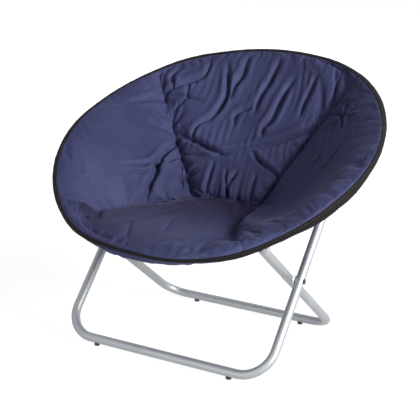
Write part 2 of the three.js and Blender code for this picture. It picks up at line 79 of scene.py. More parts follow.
# The bowl: its depth, the corners of its bottom and how full its curve is at the sides and the front
BOWL_DEPTH = 186.0
CORNER_X = 91.0
CORNER_FORWARD = {-1: 26.0, 1: 5.0}
SIDE_FULLNESS, FRONT_FULLNESS = 1.3, 1.9
FULLNESS_SEAM = math.radians(57)
PAD_EDGE = 388.5
LEAST_PAD = 8
DENT_WIDTH = 30
LEG_CLEARANCE = 3


def srgb(code):
    """The linear colour of an sRGB hex value."""
    parts = [int(code[i : i + 2], 16) / 255 for i in (1, 3, 5)]
    return tuple(c / 12.92 if c <= 0.04045 else ((c + 0.055) / 1.055) ** 2.4 for c in parts)


def smoothstep(low, high, value):
    t = np.clip((value - low) / (high - low), 0, 1)
    return t * t * (3 - 2 * t)


def bump(value, middle, width):
    """A bell curve: 1 at its middle, fading within its width."""
    return np.exp(-(((value - middle) / width) ** 2))


def wrapped(angle):
    """An angle between minus and plus half a turn."""
    return np.angle(np.exp(1j * np.asarray(angle)))


def back_of(tilt):
    return np.array((math.cos(tilt), math.sin(tilt)))


def up_of(tilt):
    return np.array((-math.sin(tilt), math.cos(tilt)))


def hoop_profile(forward):
    """Where the ring's plane runs, in Y and Z, at a distance forward of its centre."""
    forward = np.asarray(forward, float)[..., None]
    rear = RING_CENTRE - back_of(REAR_TILT) * forward
    front = RING_HINGE - back_of(FRONT_TILT) * (forward - HINGE_OFFSET)
    return np.where(forward <= HINGE_OFFSET, rear, front)


# Between these places forward of the centre the bowl's up direction turns from one hoop's to the other's
TURN_FROM, TURN_TO = 10, 310


def ring_point(x, forward, depth):
    """A point of the bowl, in metres, from its ring plan in millimetres."""
    share = smoothstep(TURN_FROM, TURN_TO, forward)[..., None]
    up = up_of(REAR_TILT) * (1 - share) + up_of(FRONT_TILT) * share
    up = up / np.linalg.norm(up, axis=-1, keepdims=True)
    profile = hoop_profile(forward) - up * np.asarray(depth)[..., None]
    return np.stack([x, profile[..., 0] + PART_SHIFT_Y, profile[..., 1]], -1) * MM


def hoop_angles(side, gap, steps):
    """Ring angles from a hoop's right end to its left; gap is its distance from the hinge line."""
    start = math.asin((HINGE_OFFSET + side * gap) / RING_RADIUS)
    turn = side * math.pi - 2 * start
    return start + turn * np.arange(steps + 1) / steps


def hoop_centre(angles):
    """The tube's centre line at ring angles, in millimetres."""
    profile = hoop_profile(RING_RADIUS * np.sin(angles))
    return np.stack([RING_RADIUS * np.cos(angles), profile[:, 0] + PART_SHIFT_Y, profile[:, 1]], -1)


# Helpers for meshes


def new_object(name, data):
    made = bpy.data.objects.new(name, data)
    bpy.context.scene.collection.objects.link(made)
    return made


def mesh_object(name, points, faces, material):
    mesh = bpy.data.meshes.new(name)
    mesh.from_pydata([tuple(p) for p in points], [], [tuple(f) for f in faces])
    mesh.validate()
    mesh.shade_smooth()
    mesh.materials.append(material)
    return new_object(name, mesh)


def map_cloth(made, plan):
    """Gives a mesh its cloth UV map from a place on the cloth, in millimetres, for every vertex."""
    corners = np.empty(len(made.data.loops), np.int32)
    made.data.loops.foreach_get("vertex_index", corners)
    cloth = made.data.uv_layers.new(name="cloth")
    cloth.data.foreach_set("uv", (plan * MM)[corners].astype(np.float32).ravel())


def grid_quads(index):
    """The quads of a grid of vertex numbers."""
    return np.stack([index[:-1, :-1], index[1:, :-1], index[1:, 1:], index[:-1, 1:]], -1).reshape(-1, 4)


TURNED_OVER = [0, 3, 2, 1]


def poly_curve(name, paths):
    """A curve object of straight-segment splines through the given points."""
    curve = bpy.data.curves.new(name, "CURVE")
    curve.dimensions = "3D"
    for path in paths:
        spline = curve.splines.new("POLY")
        spline.points.add(len(path) - 1)
        for point, place in zip(spline.points, path):
            point.co = (*place, 1)
    return new_object(name, curve)


def run_tree(made, tree, **values):
    """Runs a Geometry Nodes tree on a curve object, which becomes the mesh that comes out."""
    modifier = made.modifiers.new(tree.name, "NODES")
    modifier.node_group = tree
    for item in tree.interface.items_tree:
        if item.item_type == "SOCKET" and item.in_out == "INPUT" and item.name in values:
            modifier[item.identifier] = values[item.name]
    graph = bpy.context.evaluated_depsgraph_get()
    shape = made.evaluated_get(graph)
    mesh = bpy.data.meshes.new_from_object(shape, preserve_all_data_layers=True, depsgraph=graph)
    name, curve = made.name, made.data
    bpy.data.objects.remove(made)
    bpy.data.curves.remove(curve)
    mesh.name = name
    return new_object(name, mesh)


def node(tree, kind, links=None, **settings):
    """Adds a node. Settings name its properties or, with an underscore in front, its inputs.

    Links feed its inputs from sockets, or from the first outputs of nodes.
    """
    made = tree.nodes.new(kind)
    for name, value in settings.items():
        if name.startswith("_"):
            key = name[1:].replace("_", " ")
            made.inputs[int(key) if key.isdigit() else key].default_value = value
        else:
            setattr(made, name, value)
    for key, source in (links or {}).items():
        socket = source.outputs[0] if isinstance(source, bpy.types.Node) else source
        tree.links.new(socket, made.inputs[key])
    return made


# Materials


def new_material(name):
    """A material with an empty node tree, and the object coordinates in it."""
    material = bpy.data.materials.new(name)
    material.use_nodes = True
    tree = material.node_tree
    tree.nodes.clear()
    return material, tree, node(tree, "ShaderNodeTexCoord").outputs["Object"]


def noise(tree, vector, scale, detail, **settings):
    return node(tree, "ShaderNodeTexNoise", {"Vector": vector}, _Scale=scale, _Detail=detail, **settings)


def ramp(tree, value, *stops):
    """A colour ramp. Each stop is its place and its linear colour, and the first two are the ends."""
    made = node(tree, "ShaderNodeValToRGB", {"Fac": value})
    elements = made.color_ramp.elements
    for number, (place, colour) in enumerate(stops):
        if number > 1:
            elements.new(place).color = (*colour, 1)
        else:
            elements[number].position = place
            elements[number].color = (*colour, 1)
    return made


def between(tree, value, low, high, **settings):
    return node(tree, "ShaderNodeMapRange", {"Value": value}, _To_Min=low, _To_Max=high, **settings)


def principled(tree, links, **settings):
    """Ends a material in a principled shader."""
    shader = node(tree, "ShaderNodeBsdfPrincipled", links, **settings)
    node(tree, "ShaderNodeOutputMaterial", {"Surface": shader})


def powder_coat(colour):
    """Powder-coated mild steel tube, silver grey: a satin metallic paint with a faint orange peel."""
    material, tree, place = new_material("powder_coated_steel")
    # Orange peel is about 2 mm from crest to crest; drawn at 3 mm so that it shows
    peel = noise(tree, place, 330.0, 2.0)
    cloud = noise(tree, place, 9.0, 4.0)
    base = np.array(colour)
    tone = ramp(tree, cloud, (0.3, base * 0.93), (0.7, np.minimum(base * 1.04, 1)))
    relief = node(tree, "ShaderNodeBump", {"Height": peel}, _Strength=0.12, _Distance=0.0004)
    links = {"Base Color": tone, "Roughness": between(tree, cloud, 0.48, 0.58), "Normal": relief}
    principled(tree, links, _Metallic=0.75, _Coat_Weight=0.15, _Coat_Roughness=0.2)
    return material


def zinc_plate():
    """Zinc-plated steel, barrel plated: bright, a little cloudy, with fine handling marks."""
    material, tree, place = new_material("zinc_plated_steel")
    cloud = noise(tree, place, 260.0, 3.0)
    tone = ramp(tree, cloud, (0, srgb("#aeb2b6")), (1, srgb("#d6d9dc")))
    principled(tree, {"Base Color": tone, "Roughness": between(tree, cloud, 0.2, 0.42)}, _Metallic=1.0)
    return material


def dark_moulding():
    """Moulded polypropylene, near black: a spark-eroded grain that scatters its gloss."""
    material, tree, place = new_material("moulded_polypropylene")
    # Mould grain is about 0.4 mm; drawn at 0.9 mm so that it shows
    grain = node(tree, "ShaderNodeTexVoronoi", {"Vector": place}, _Scale=1100.0)
    tone = ramp(tree, noise(tree, place, 45.0, 4.0), (0, srgb("#24262b")), (1, srgb("#34373d")))
    relief = node(tree, "ShaderNodeBump", {"Height": grain}, _Strength=0.3, _Distance=0.0002)
    principled(tree, {"Base Color": tone, "Normal": relief}, _Roughness=0.52, _IOR=1.49)
    return material


def natural_nylon():
    """Turned natural nylon: milky, slightly green-white."""
    material, tree, place = new_material("natural_nylon")
    tone = ramp(tree, noise(tree, place, 90.0, 2.0), (0, srgb("#cfdcd8")), (1, srgb("#e2ece9")))
    principled(tree, {"Base Color": tone}, _Roughness=0.4, _IOR=1.53)
    return material


# At scale 1 a wave texture turns by this many radians in a unit
WAVE_RATE = 20


def woven(name, dark, mid, light, radian, sheen, roughness, cloud_scale):
    """A plain-woven polyester on the piece's own UV map, whose unit is a metre of cloth.

    The weave is a wave, and radian is the length of one radian of it in metres.
    """
    material, tree, place = new_material(name)
    cloth = node(tree, "ShaderNodeUVMap", uv_map="cloth")
    weave = dict(_Scale=1 / (radian * WAVE_RATE), _Distortion=0.6, _Detail=1.0, _Detail_Scale=3.0)
    warp, weft = (
        node(tree, "ShaderNodeTexWave", {"Vector": cloth}, bands_direction=way, **weave).outputs["Fac"]
        for way in "XY"
    )
    both = node(tree, "ShaderNodeMath", {0: warp, 1: weft}, operation="ADD")
    cloud = noise(tree, place, cloud_scale, 5.0, _Roughness=0.6)
    tone = ramp(tree, cloud, (0.3, srgb(dark)), (0.72, srgb(light)), (0.5, srgb(mid)))
    fleck = between(tree, noise(tree, cloth, 420.0, 2.0), 0.95, 1.05, _From_Min=0.35, _From_Max=0.65)
    weave_tone = between(tree, both, 0.96, 1.03, _From_Max=2.0)
    shade = node(tree, "ShaderNodeMath", {0: fleck, 1: weave_tone}, operation="MULTIPLY")
    multiply = dict(data_type="RGBA", blend_type="MULTIPLY")
    colour = node(tree, "ShaderNodeMix", {6: tone, 7: shade}, **multiply, _0=1.0).outputs[2]
    # Painted shade: where the point attribute says so, the cloth's colour is multiplied towards a dark
    # violet, standing in for shade on the front pad
    nap = node(tree, "ShaderNodeAttribute", attribute_name="nap").outputs["Fac"]
    painted_shade_tint = (0.36, 0.27, 0.34, 1)
    shaded_colour = node(tree, "ShaderNodeMix", {0: nap, 6: colour}, **multiply, _7=painted_shade_tint).outputs[2]
    relief = node(tree, "ShaderNodeBump", {"Height": both}, _Strength=0.2, _Distance=0.0003)
    principled(
        tree, {"Base Color": shaded_colour, "Normal": relief}, _Roughness=roughness, _Sheen_Weight=sheen,
        _Sheen_Roughness=0.35, _Sheen_Tint=(*srgb("#a9acd0"), 1), _IOR=1.5, _Specular_IOR_Level=0.16,
    )
    return material


MATERIALS = {}


# Cloths and threads: name, dark, middle and light shade, radian of the weave, sheen, roughness, cloud scale
WOVEN = {
    # Navy polyester oxford over wadding: threads 0.6 mm apart, drawn 12.6 mm apart so that they show
    "seat_fabric": ("navy_oxford_polyester", "#303253", "#35385b", "#3c4064", 0.002, 0.1, 0.68, 7.0),
    # Black polyester binding tape: ribs 0.8 mm apart, drawn 10 mm apart
    "sleeve_fabric": ("black_polyester_tape", "#0a080a", "#0e0b0d", "#131013", 0.0016, 0.03, 0.8, 16.0),
    # Spun polyester sewing threads, each a shade lighter than its cloth
    "thread": ("navy_sewing_thread", "#3c3f66", "#454970", "#52567f", 0.0008, 0.3, 0.55, 60.0),
    "binding_thread": ("black_sewing_thread", "#262425", "#302e2f", "#3d3a3b", 0.0008, 0.3, 0.55, 60.0),
}


def make_materials(colours):
    MATERIALS["painted_tube"] = powder_coat(colours.tube)
    MATERIALS["zinc_hardware"] = zinc_plate()
    MATERIALS["dark_plastic"] = dark_moulding()
    MATERIALS["nylon_spacer"] = natural_nylon()
    for slot, looks in WOVEN.items():
        MATERIALS[slot] = woven(*looks)


# Tubes

BEND_STEPS = 16
TUBE_SIDES = 40
HOOP_STEPS = 72


def leg_path(leg):
    """The centre line of a U frame in metres, from the left leg's end to the right one's."""
    lean, half, bend = leg["lean"], leg["half_width"], leg["bend"]
    right = []
    for i in range(BEND_STEPS + 1):
        turn = math.pi / 2 * i / BEND_STEPS
        right.append((half - bend + bend * math.sin(turn), bend - bend * math.cos(turn)))
    right.append((half, leg["reach"]))
    points = []
    for x, rise in [(-x, rise) for x, rise in reversed(right)] + right:
        y = leg["bar_y"] + math.sin(lean) * rise + PART_SHIFT_Y
        points.append(Vector((x, y, BAR_HEIGHT + math.cos(lean) * rise)) * MM)
    return points


def hoop_path(side):
    """The centre line of a hoop's tube in metres."""
    return [Vector(p) * MM for p in hoop_centre(hoop_angles(side, HOOP_END_GAP, HOOP_STEPS))]


def new_tree(name, inputs):
    """A Geometry Nodes tree from a path to a mesh, and its input sockets."""
    tree = bpy.data.node_groups.new(name, "GeometryNodeTree")
    for label, kind in {"Geometry": "Geometry", **inputs, "Material": "Material"}.items():
        tree.interface.new_socket(label, in_out="INPUT", socket_type="NodeSocket" + kind)
    tree.interface.new_socket("Geometry", in_out="OUTPUT", socket_type="NodeSocketGeometry")
    return tree, node(tree, "NodeGroupInput").outputs


def end_tree(tree, mesh, material):
    """Ends a tree with real, smooth geometry in its material."""
    real = node(tree, "GeometryNodeRealizeInstances", {"Geometry": mesh})
    smooth = node(tree, "GeometryNodeSetShadeSmooth", {"Geometry": real})
    dressed = node(tree, "GeometryNodeSetMaterial", {"Geometry": smooth, "Material": material})
    node(tree, "NodeGroupOutput", {"Geometry": dressed})
    return tree


def tube_tree():
    """Geometry Nodes: sweeps a round section along a path."""
    tree, start = new_tree("tube_along_path", {"Radius": "Float", "Sides": "Int"})
    section = {"Resolution": start["Sides"], "Radius": start["Radius"]}
    ring = node(tree, "GeometryNodeCurvePrimitiveCircle", section)
    path = {"Curve": start["Geometry"], "Profile Curve": ring}
    swept = node(tree, "GeometryNodeCurveToMesh", path, _Fill_Caps=True)
    return end_tree(tree, swept, start["Material"])


def make_tube(name, path, radius, body, replaced, tree):
    paint = MATERIALS["painted_tube"]
    made = run_tree(poly_curve(name, [path]), tree, Radius=radius, Sides=TUBE_SIDES, Material=paint)
    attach(made, body)
    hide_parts(replaced)


# The padded bowl


def rim_at(angle):
    return np.stack([np.cos(angle), np.sin(angle)], -1) * PAD_EDGE


def rim_gap(plan):
    """How far places on the plan lie inside the pad's edge."""
    return np.maximum(PAD_EDGE - np.linalg.norm(plan, axis=-1), 0)


class Seam:
    """A line of the bowl's plan from a corner of its bottom to the rim; bow is its sideways swing."""

    def __init__(self, side, angle, bow=0.0):
        self.angle = angle
        self.corner = np.array((side * CORNER_X, CORNER_FORWARD[side]))
        self.rim = rim_at(angle)
        along = (self.rim - self.corner) / np.linalg.norm(self.rim - self.corner)
        self.swing = np.array((-along[1], along[0])) * bow

    def at(self, u):
        u = np.asarray(u)[..., None]
        return self.corner * (1 - u) + self.rim * u + self.swing * 4 * u * (1 - u)


SEAMS = {
    "back_left": Seam(-1, math.radians(-141), 0.0),
    "back_right": Seam(1, math.radians(-50), -13.0),
    "hinge_left": Seam(-1, math.pi - HINGE_ANGLE),
    "hinge_right": Seam(1, HINGE_ANGLE),
    "front_left": Seam(-1, math.radians(122), 64.0),
    "front_right": Seam(1, math.radians(55), 43.0),
}
SEWN = ("back_left", "back_right", "front_left", "front_right")
SEAM_POINTS = 60


def seam_lines():
    """The sewn seams as polylines on the plan, each with a name."""
    u = np.linspace(0, 1, SEAM_POINTS)
    lines = {name: SEAMS[name].at(u) for name in SEWN}
    left, right = SEAMS["front_left"].corner, SEAMS["front_right"].corner
    lines["bottom"] = left + (right - left) * u[:, None]
    return lines


def nearest(points, line):
    """Each point's distance to a polyline, the run along it to the nearest place, and the point's side."""
    best = np.full(len(points), np.inf)
    run = np.zeros(len(points))
    side = np.zeros(len(points))
    lengths = np.r_[0, np.cumsum(np.linalg.norm(np.diff(line, axis=0), axis=1))]
    for a, d, before in zip(line, np.diff(line, axis=0), lengths):
        t = np.clip(((points - a) @ d) / (d @ d), 0, 1)
        gap = points - (a + t[:, None] * d)
        distance = np.hypot(gap[:, 0], gap[:, 1])
        closer = distance < best
        best = np.where(closer, distance, best)
        run = np.where(closer, before + t * np.linalg.norm(d), run)
        side = np.where(closer, np.sign(d[0] * gap[:, 1] - d[1] * gap[:, 0]), side)
    return best, run, side


KNOTS = 400


def ripple(run, seed, spacing):
    """A smooth irregular wave along a seam, between -1 and 1, from fixed random knots."""
    knots = np.random.default_rng(seed).uniform(-1, 1, KNOTS)
    at = np.clip(run / spacing, 0, KNOTS - 1.01)
    low = np.floor(at).astype(int)
    t = at - low
    t = t * t * (3 - 2 * t)
    return knots[low] * (1 - t) + knots[low + 1] * t


# Creases drawn on the plan: depth and half-width in millimetres, then the line's points
CREASES = [
    # Back panel, upper left: curved folds that run down from the rim
    (5.0, 8, [(-255, -275), (-262, -252), (-250, -230), (-268, -199)]),
    (6.0, 9, [(-176, -325), (-178, -283), (-215, -251), (-258, -210)]),
    (4.5, 7, [(-209, -249), (-204, -222), (-211, -191)]),
    (6.5, 9, [(-113, -310), (-101, -255), (-108, -216), (-125, -170)]),
    (4.0, 7, [(-258, -198), (-224, -210), (-159, -220)]),
    (4.5, 7, [(-125, -184), (-147, -151), (-147, -128), (-159, -107)]),
    # Back panel: two long folds across, where the sitter's weight bends the pad
    (8.0, 9, [(-194, -121), (-138, -117), (-79, -104), (-40, -104)]),
    (9.0, 10, [(-158, -78), (-83, -90), (-31, -108), (46, -139), (104, -163), (157, -188), (192, -205)]),
    # Back panel: long folds from the upper right to the lower left
    (5.5, 9, [(-127, -330), (-107, -282), (-99, -237), (-106, -203)]),
    (7.0, 10, [(-78, -362), (-74, -312), (-87, -277), (-85, -239)]),
    (7.0, 10, [(15, -366), (10, -314), (-5, -261), (-8, -224)]),
    (7.5, 10, [(71, -310), (55, -257), (48, -211), (32, -187), (36, -165)]),
    (5.5, 9, [(140, -320), (127, -258), (122, -219)]),
    (5.0, 8, [(200, -305), (201, -266), (193, -233)]),
    (5.0, 8, [(-23, -231), (-55, -212), (-55, -185)]),
    # Gathers up from the bottom seam
    (4.5, 7, [(-172, -75), (-161, -51), (-140, -10), (-125, 12)]),
    (4.0, 6, [(-130, -40), (-115, -5)]),
    (5.0, 7, [(-66, -70), (-60, -27), (-58, 18)]),
    (4.0, 6, [(-25, -60), (-10, -20), (8, 19)]),
    (4.5, 7, [(5, -60), (-3, -18), (0, 20)]),
    (4.5, 7, [(55, -60), (59, -18), (62, 16)]),
    (4.0, 7, [(89, -76), (123, -72)]),
    (6.0, 8, [(25, -118), (60, -95), (106, -76)]),
    # Left panel: the deep fold, and short ones that start from it
    (9.0, 9, [(-192, -112), (-201, -64), (-207, -16), (-196, 24), (-193, 64), (-180, 118)]),
    (6.0, 8, [(-207, -16), (-222, 14), (-240, 40), (-262, 58)]),
    (5.0, 7, [(-207, -16), (-190, -29), (-175, -68)]),
    (4.0, 7, [(-196, 19), (-224, 50), (-250, 66)]),
    (3.5, 7, [(-274, -190), (-292, -178), (-300, -165)]),
    (4.5, 8, [(-268, -186), (-300, -157), (-335, -120)]),
    # Front panel: two soft gathers down from the rim
    (2.2, 9, [(-90, 290), (-68, 330), (-40, 372)]),
    (1.8, 9, [(-28, 225), (-12, 265), (10, 316)]),
    # Right panel: folds round the tuft, and fine ones down to the rim
    (4.5, 6, [(205, -215), (230, -209), (262, -190)]),
    (3.5, 4, [(236, -222), (262, -190)]),
    (3.0, 4, [(262, -232), (262, -190)]),
    (3.5, 4, [(300, -176), (262, -190)]),
    (3.0, 4, [(292, -206), (262, -190)]),
    (3.5, 4, [(276, -146), (262, -190)]),
    (3.0, 4, [(240, -152), (262, -190)]),
    (2.2, 8, [(251, -92), (231, -37)]),
    (2.2, 8, [(306, -108), (286, -42), (266, -1)]),
]
CREASE_POINTS = 24
CREASE_REACH = 50

# Where the layers are caught together: small dimples in the middle of short rays
TUFTS = [(-265, -191), (-205, -9), (262, -190)]
TUFT_DEPTH, TUFT_WIDTH = 5.0, 7


def rounded(line):
    """A curve that passes smoothly through a line's points."""
    t = np.linspace(0, len(line) - 1, CREASE_POINTS)
    low = np.minimum(t.astype(int), len(line) - 2)
    p0, p1 = line[np.maximum(low - 1, 0)], line[low]
    p2, p3 = line[low + 1], line[np.minimum(low + 2, len(line) - 1)]
    s = (t - low)[:, None]
    square, cube = 2 * p0 - 5 * p1 + 4 * p2 - p3, 3 * p1 - p0 - 3 * p2 + p3
    return 0.5 * (2 * p1 + (p2 - p0) * s + square * s**2 + cube * s**3)


def crease_depth(points, sharpness=0.68, strength=1.35, shoulders=0.36):
    """How far the drawn creases and tufts press the cloth in, in millimetres."""
    total = np.zeros(len(points))
    for depth, width, line in CREASES:
        line = np.array(line, float)
        whole = np.linalg.norm(np.diff(line, axis=0), axis=1).sum()
        low, high = line.min(0) - CREASE_REACH, line.max(0) + CREASE_REACH
        near = np.all((points > low) & (points < high), axis=1)
        if not near.any():
            continue
        distance, run, _ = nearest(points[near], rounded(line))
        # A crease fades over a third of its length at each end
        ends = np.clip(np.minimum(run, whole - run) / (0.32 * whole), 0, 1)
        fade = 0.25 + 0.75 * ends * (2 - ends)
        sharp = sharpness * width
        valley = np.exp(-np.abs(distance / sharp) ** 1.5)
        shoulder = bump(distance, 2.3 * sharp, 1.2 * sharp)
        total[near] += strength * depth * fade * (valley - shoulders * shoulder)
    for x, forward in TUFTS:
        total += TUFT_DEPTH * bump(np.hypot(points[:, 0] - x, points[:, 1] - forward), 0, TUFT_WIDTH)
    return total


def leg_dents():
    """Where each leg's end lies under the bowl, in the ring's coordinates, with its slope and lift."""
    dents = []
    for leg, tilt in ((FRONT_LEG, REAR_TILT), (REAR_LEG, FRONT_TILT)):
        ray = np.array((math.sin(leg["lean"]), math.cos(leg["lean"])))
        away = np.array((leg["bar_y"], BAR_HEIGHT)) + ray * leg["reach"] - RING_CENTRE
        slope = (ray @ up_of(tilt)) / (ray @ back_of(tilt))
        lift = TUBE_RADIUS * math.hypot(1, slope)
        dents.append((leg["half_width"], -(away @ back_of(tilt)), -(away @ up_of(tilt)), slope, lift))
    return dents


LEG_DENTS = leg_dents()


def deepest_allowed(x, forward):
    """How deep the bowl's underside may hang before it meets a leg."""
    limits = []
    for leg_x, leg_forward, leg_depth, slope, lift in LEG_DENTS:
        aside = np.maximum(0, np.abs(np.abs(x) - leg_x) - DENT_WIDTH)
        top = np.maximum(leg_depth - TUBE_RADIUS, leg_depth + (forward - leg_forward) * slope - lift)
        limits.append(top - LEG_CLEARANCE + aside * aside / DENT_WIDTH)
    return np.minimum(*limits)


def bowl_depth(rho, angle):
    share = smoothstep(0, math.sin(FULLNESS_SEAM), np.sin(angle))
    fullness = SIDE_FULLNESS + (FRONT_FULLNESS - SIDE_FULLNESS) * share
    return BOWL_DEPTH * (1 - rho**fullness)


def panel_grid(first, last, rows, columns):
    """A panel's plan, ring angles and shares of the way out, on a grid that keeps to its seams."""
    a, b = SEAMS[first], SEAMS[last]
    start, end = a.angle, b.angle
    if abs(end - start) > math.pi:
        end += 2 * math.pi * np.sign(start - end)
    u = np.linspace(0, 1, rows + 1)[:, None, None]
    v = np.linspace(0, 1, columns + 1)[None, :, None]
    angle = start + (end - start) * v[..., 0]
    inner = a.corner * (1 - v) + b.corner * v
    plan = inner * (1 - u) + rim_at(angle) * u
    plan = plan + (a.swing * (1 - v) ** 2 + b.swing * v**2) * 4 * u * (1 - u)
    return plan, np.broadcast_to(angle, plan.shape[:2]), np.broadcast_to(u[..., 0], plan.shape[:2])


# Waves round the rim run along this radius, from an angle that keeps them on the random knots
RIM_RUN, RIM_START = 388, 4


def rim_run(plan):
    return (np.arctan2(plan[:, 1], plan[:, 0]) + RIM_START) * RIM_RUN


def front_shade_mask(plan):
    """How much painted shade darkens the front pad's colour: most by the bottom seam and the left seam,
    fading to none at the rim.
    """
    lines = seam_lines()
    streaks = 1 + 0.22 * ripple(rim_run(plan), 77, 16.0)
    light = 1
    for name, reach in (("bottom", 185), ("front_left", 88)):
        distance, _, _ = nearest(plan, lines[name])
        light = light * (1 - np.exp(-((distance * streaks / reach) ** 3)))
    return (1 - light) * smoothstep(0, 26, rim_gap(plan))


def rim_gathers(angle):
    """How strongly the cloth is gathered at the rim, in millimetres: most by the two front seams."""
    angle = wrapped(angle)
    return 1.1 + 2.6 * bump(angle, math.radians(32), 0.45) + 3.4 * bump(angle, math.radians(118), 0.35)


def puckers(side, run, number, seed, spacings):
    """The small waves along a seam, other ones on each side of it."""
    one, other = spacings
    return np.where(side > 0, ripple(run, seed + number, one), ripple(run, seed + 20 + number, other))


# Offsets of the cloth from the bowl's middle surface and their reach, in millimetres
SEAM_PULL = 13
SEAM_PUCKERS = {"bottom": (48.0, 5.0)}
PLAIN_PUCKERS = (26.0, 2.6)
# The right front seam lies almost level with the cloth until it nears the rim
LEVEL_SEAM, LEVEL_SHARE = "front_right", 0.4
# How far each edge of the front pad draws its fullness in, as a share, and how far from it
FRONT_EDGES = {"bottom": (1, 34), "front_left": (1, 26), "front_right": (0.6, 26)}
FRONT_PAD_RISE, FRONT_RIM_REACH = 17.0, 22
HALF_EDGE, HALF_EDGE_AT_RIM = 5, 3.5
RIM_CROWN_SHARE = 0.62
UNDERSIDE_WAVE = 3.0


def pad_rolls(x, y):
    """The wadding lies unevenly, so the panels roll a little between their seams."""
    return 2.2 * np.sin(x / 41 + 1.3 * np.sin(y / 57)) * np.sin(y / 47 + 0.9 * np.sin(x / 63))


def fine_folds(x, y):
    """Fine folds in the back pad, along the long ones."""
    fold = np.sin(x / 3.1 + 1.9 * np.sin(y / 31 + 0.6) + 1.2 * np.sin(x / 37 + y / 71))
    swing = 0.5 + 0.5 * np.sin(y / 27 + x / 19 + 1.4 * np.sin(x / 43))
    return 1.1 * fold * swing * smoothstep(60, 130, -y)


def wall_offsets(plan, sizes):
    """How far the inner and outer cloth stand from the bowl's middle surface, over the whole plan."""
    x, y = plan[:, 0], plan[:, 1]
    gap = rim_gap(plan)
    crown, full = np.ones(len(plan)), np.ones(len(plan))
    inner, outer = np.zeros(len(plan)), np.zeros(len(plan))
    for number, (name, line) in enumerate(seam_lines().items()):
        distance, run, side = nearest(plan, line)
        drawn_in = 1.0
        if name == LEVEL_SEAM:
            drawn_in = LEVEL_SHARE + (1 - LEVEL_SHARE) * smoothstep(170, 320, run)
        crown = crown * (1 - drawn_in * np.exp(-distance / SEAM_PULL))
        if name in FRONT_EDGES:
            share, width = FRONT_EDGES[name]
            full *= 1 - share * np.exp(-distance / width)
        reach, height = SEAM_PUCKERS.get(name, PLAIN_PUCKERS)
        fade = np.exp(-distance / reach) * (1 - np.exp(-distance / 5))
        inner += height * fade * puckers(side, run, number, 11, (10.0, 11.0))
        outer += UNDERSIDE_WAVE * fade * puckers(side, run, number, 51, (13.0, 12.0))
    around = np.arctan2(y, x)
    inner += rim_gathers(around) * np.exp(-gap / 34) * ripple(rim_run(plan), 91, 13.0)
    outer += UNDERSIDE_WAVE * np.exp(-gap / 26) * ripple(rim_run(plan), 95, 14.0)
    creases = crease_depth(plan)
    # The front pad is the fullest: it stands up behind the rim and falls away to its seams
    front = smoothstep(0.55, 0.85, np.sin(around))
    inner += FRONT_PAD_RISE * front * full * (1 - np.exp(-gap / FRONT_RIM_REACH))
    inner += fine_folds(x, y) * crown * (1 - np.exp(-gap / 40))
    rim_fade = 1 - np.exp(-gap / 24)
    edge = HALF_EDGE + HALF_EDGE_AT_RIM * np.exp(-gap / 40)
    swell = (RIM_CROWN_SHARE + (1 - RIM_CROWN_SHARE) * rim_fade) * sizes.crown_inside / MM
    inside = edge + crown * (swell + pad_rolls(x, y) * rim_fade) + inner
    inside -= creases * np.minimum(crown * 1.4, 1) * np.minimum(rim_fade * 2, 1)
    outside = edge + crown * rim_fade * sizes.crown_outside / MM + outer - 0.25 * creases * crown * rim_fade
    return inside, outside


# Each panel's first and last seam, rows, columns and body
PANELS = {
    "pad_back": ("back_left", "back_right", 132, 208, "rear_hoop"),
    "pad_right_rear": ("back_right", "hinge_right", 116, 136, "rear_hoop"),
    "pad_right_front": ("hinge_right", "front_right", 116, 72, "front_hoop"),
    "pad_front": ("front_right", "front_left", 116, 150, "front_hoop"),
    "pad_left_front": ("front_left", "hinge_left", 116, 72, "front_hoop"),
    "pad_left_rear": ("hinge_left", "back_left", 116, 136, "rear_hoop"),
}
TAPE = 0.9
TUBE_REST = 0.96
RIM_BLEND = 16
SEAM_CUT, SEAM_CUT_WIDTH = 3.0, 4.0


def panel_walls(name, sizes):
    """A panel's inner and outer cloth as grids of points in metres, with what the other pieces need of it."""
    first, last, rows, columns, _ = PANELS[name]
    plan, angle, share = panel_grid(first, last, rows, columns)
    shape = plan.shape[:2]
    flat = plan.reshape(-1, 2)
    inside, outside = wall_offsets(flat, sizes)
    depth = bowl_depth(share * PAD_EDGE / RING_RADIUS, angle).reshape(-1)
    under = np.minimum(depth + outside, deepest_allowed(flat[:, 0], flat[:, 1]))
    # The cloth runs on to the tube without a dip
    (outline,) = around_ring(OUTLINE, angle[0])
    on_tube = -TUBE_REST * np.sqrt(np.maximum((outline - TAPE) ** 2 - (RING_RADIUS - PAD_EDGE) ** 2, 16))
    rise = on_tube - (depth - inside).reshape(shape)[-1]
    gap = rim_gap(plan)
    over = depth - inside + (np.minimum(rise, 2)[None] * np.exp(-gap / RIM_BLEND)).ravel()
    # The seams stay drawn in right up to the tape
    turned = [np.abs(wrapped(angle - SEAMS[seam].angle)) for seam in SEWN]
    away = np.minimum(np.min(turned, axis=0) * np.linalg.norm(plan, axis=-1), 99)
    over += (SEAM_CUT * bump(away, 0, SEAM_CUT_WIDTH) * np.exp(-gap / 60)).ravel()
    over = np.minimum(over, under - LEAST_PAD)
    wall = {"plan": plan, "angle": angle[0]}
    wall["top"] = ring_point(flat[:, 0], flat[:, 1], over).reshape(*shape, 3)
    wall["bottom"] = ring_point(flat[:, 0], flat[:, 1], under).reshape(*shape, 3)
    # Painted shade, on the front pad only: a darkening of the cloth's colour by its seams
    wall["nap"] = front_shade_mask(flat).reshape(shape) if name == "pad_front" else np.zeros(shape)
    wall["over"], wall["under"] = over.reshape(shape)[-1], under.reshape(shape)[-1]
    wall["roll"], wall["polar"], wall["free"] = roll_part(wall)
    return wall


# The cloth's own folds

# Each sheet is simulated as one piece between its seams, on every second row and column of its grid
SHEETS = (
    ("pad_back",),
    ("pad_right_rear", "pad_right_front"),
    ("pad_front",),
    ("pad_left_front", "pad_left_rear"),
)
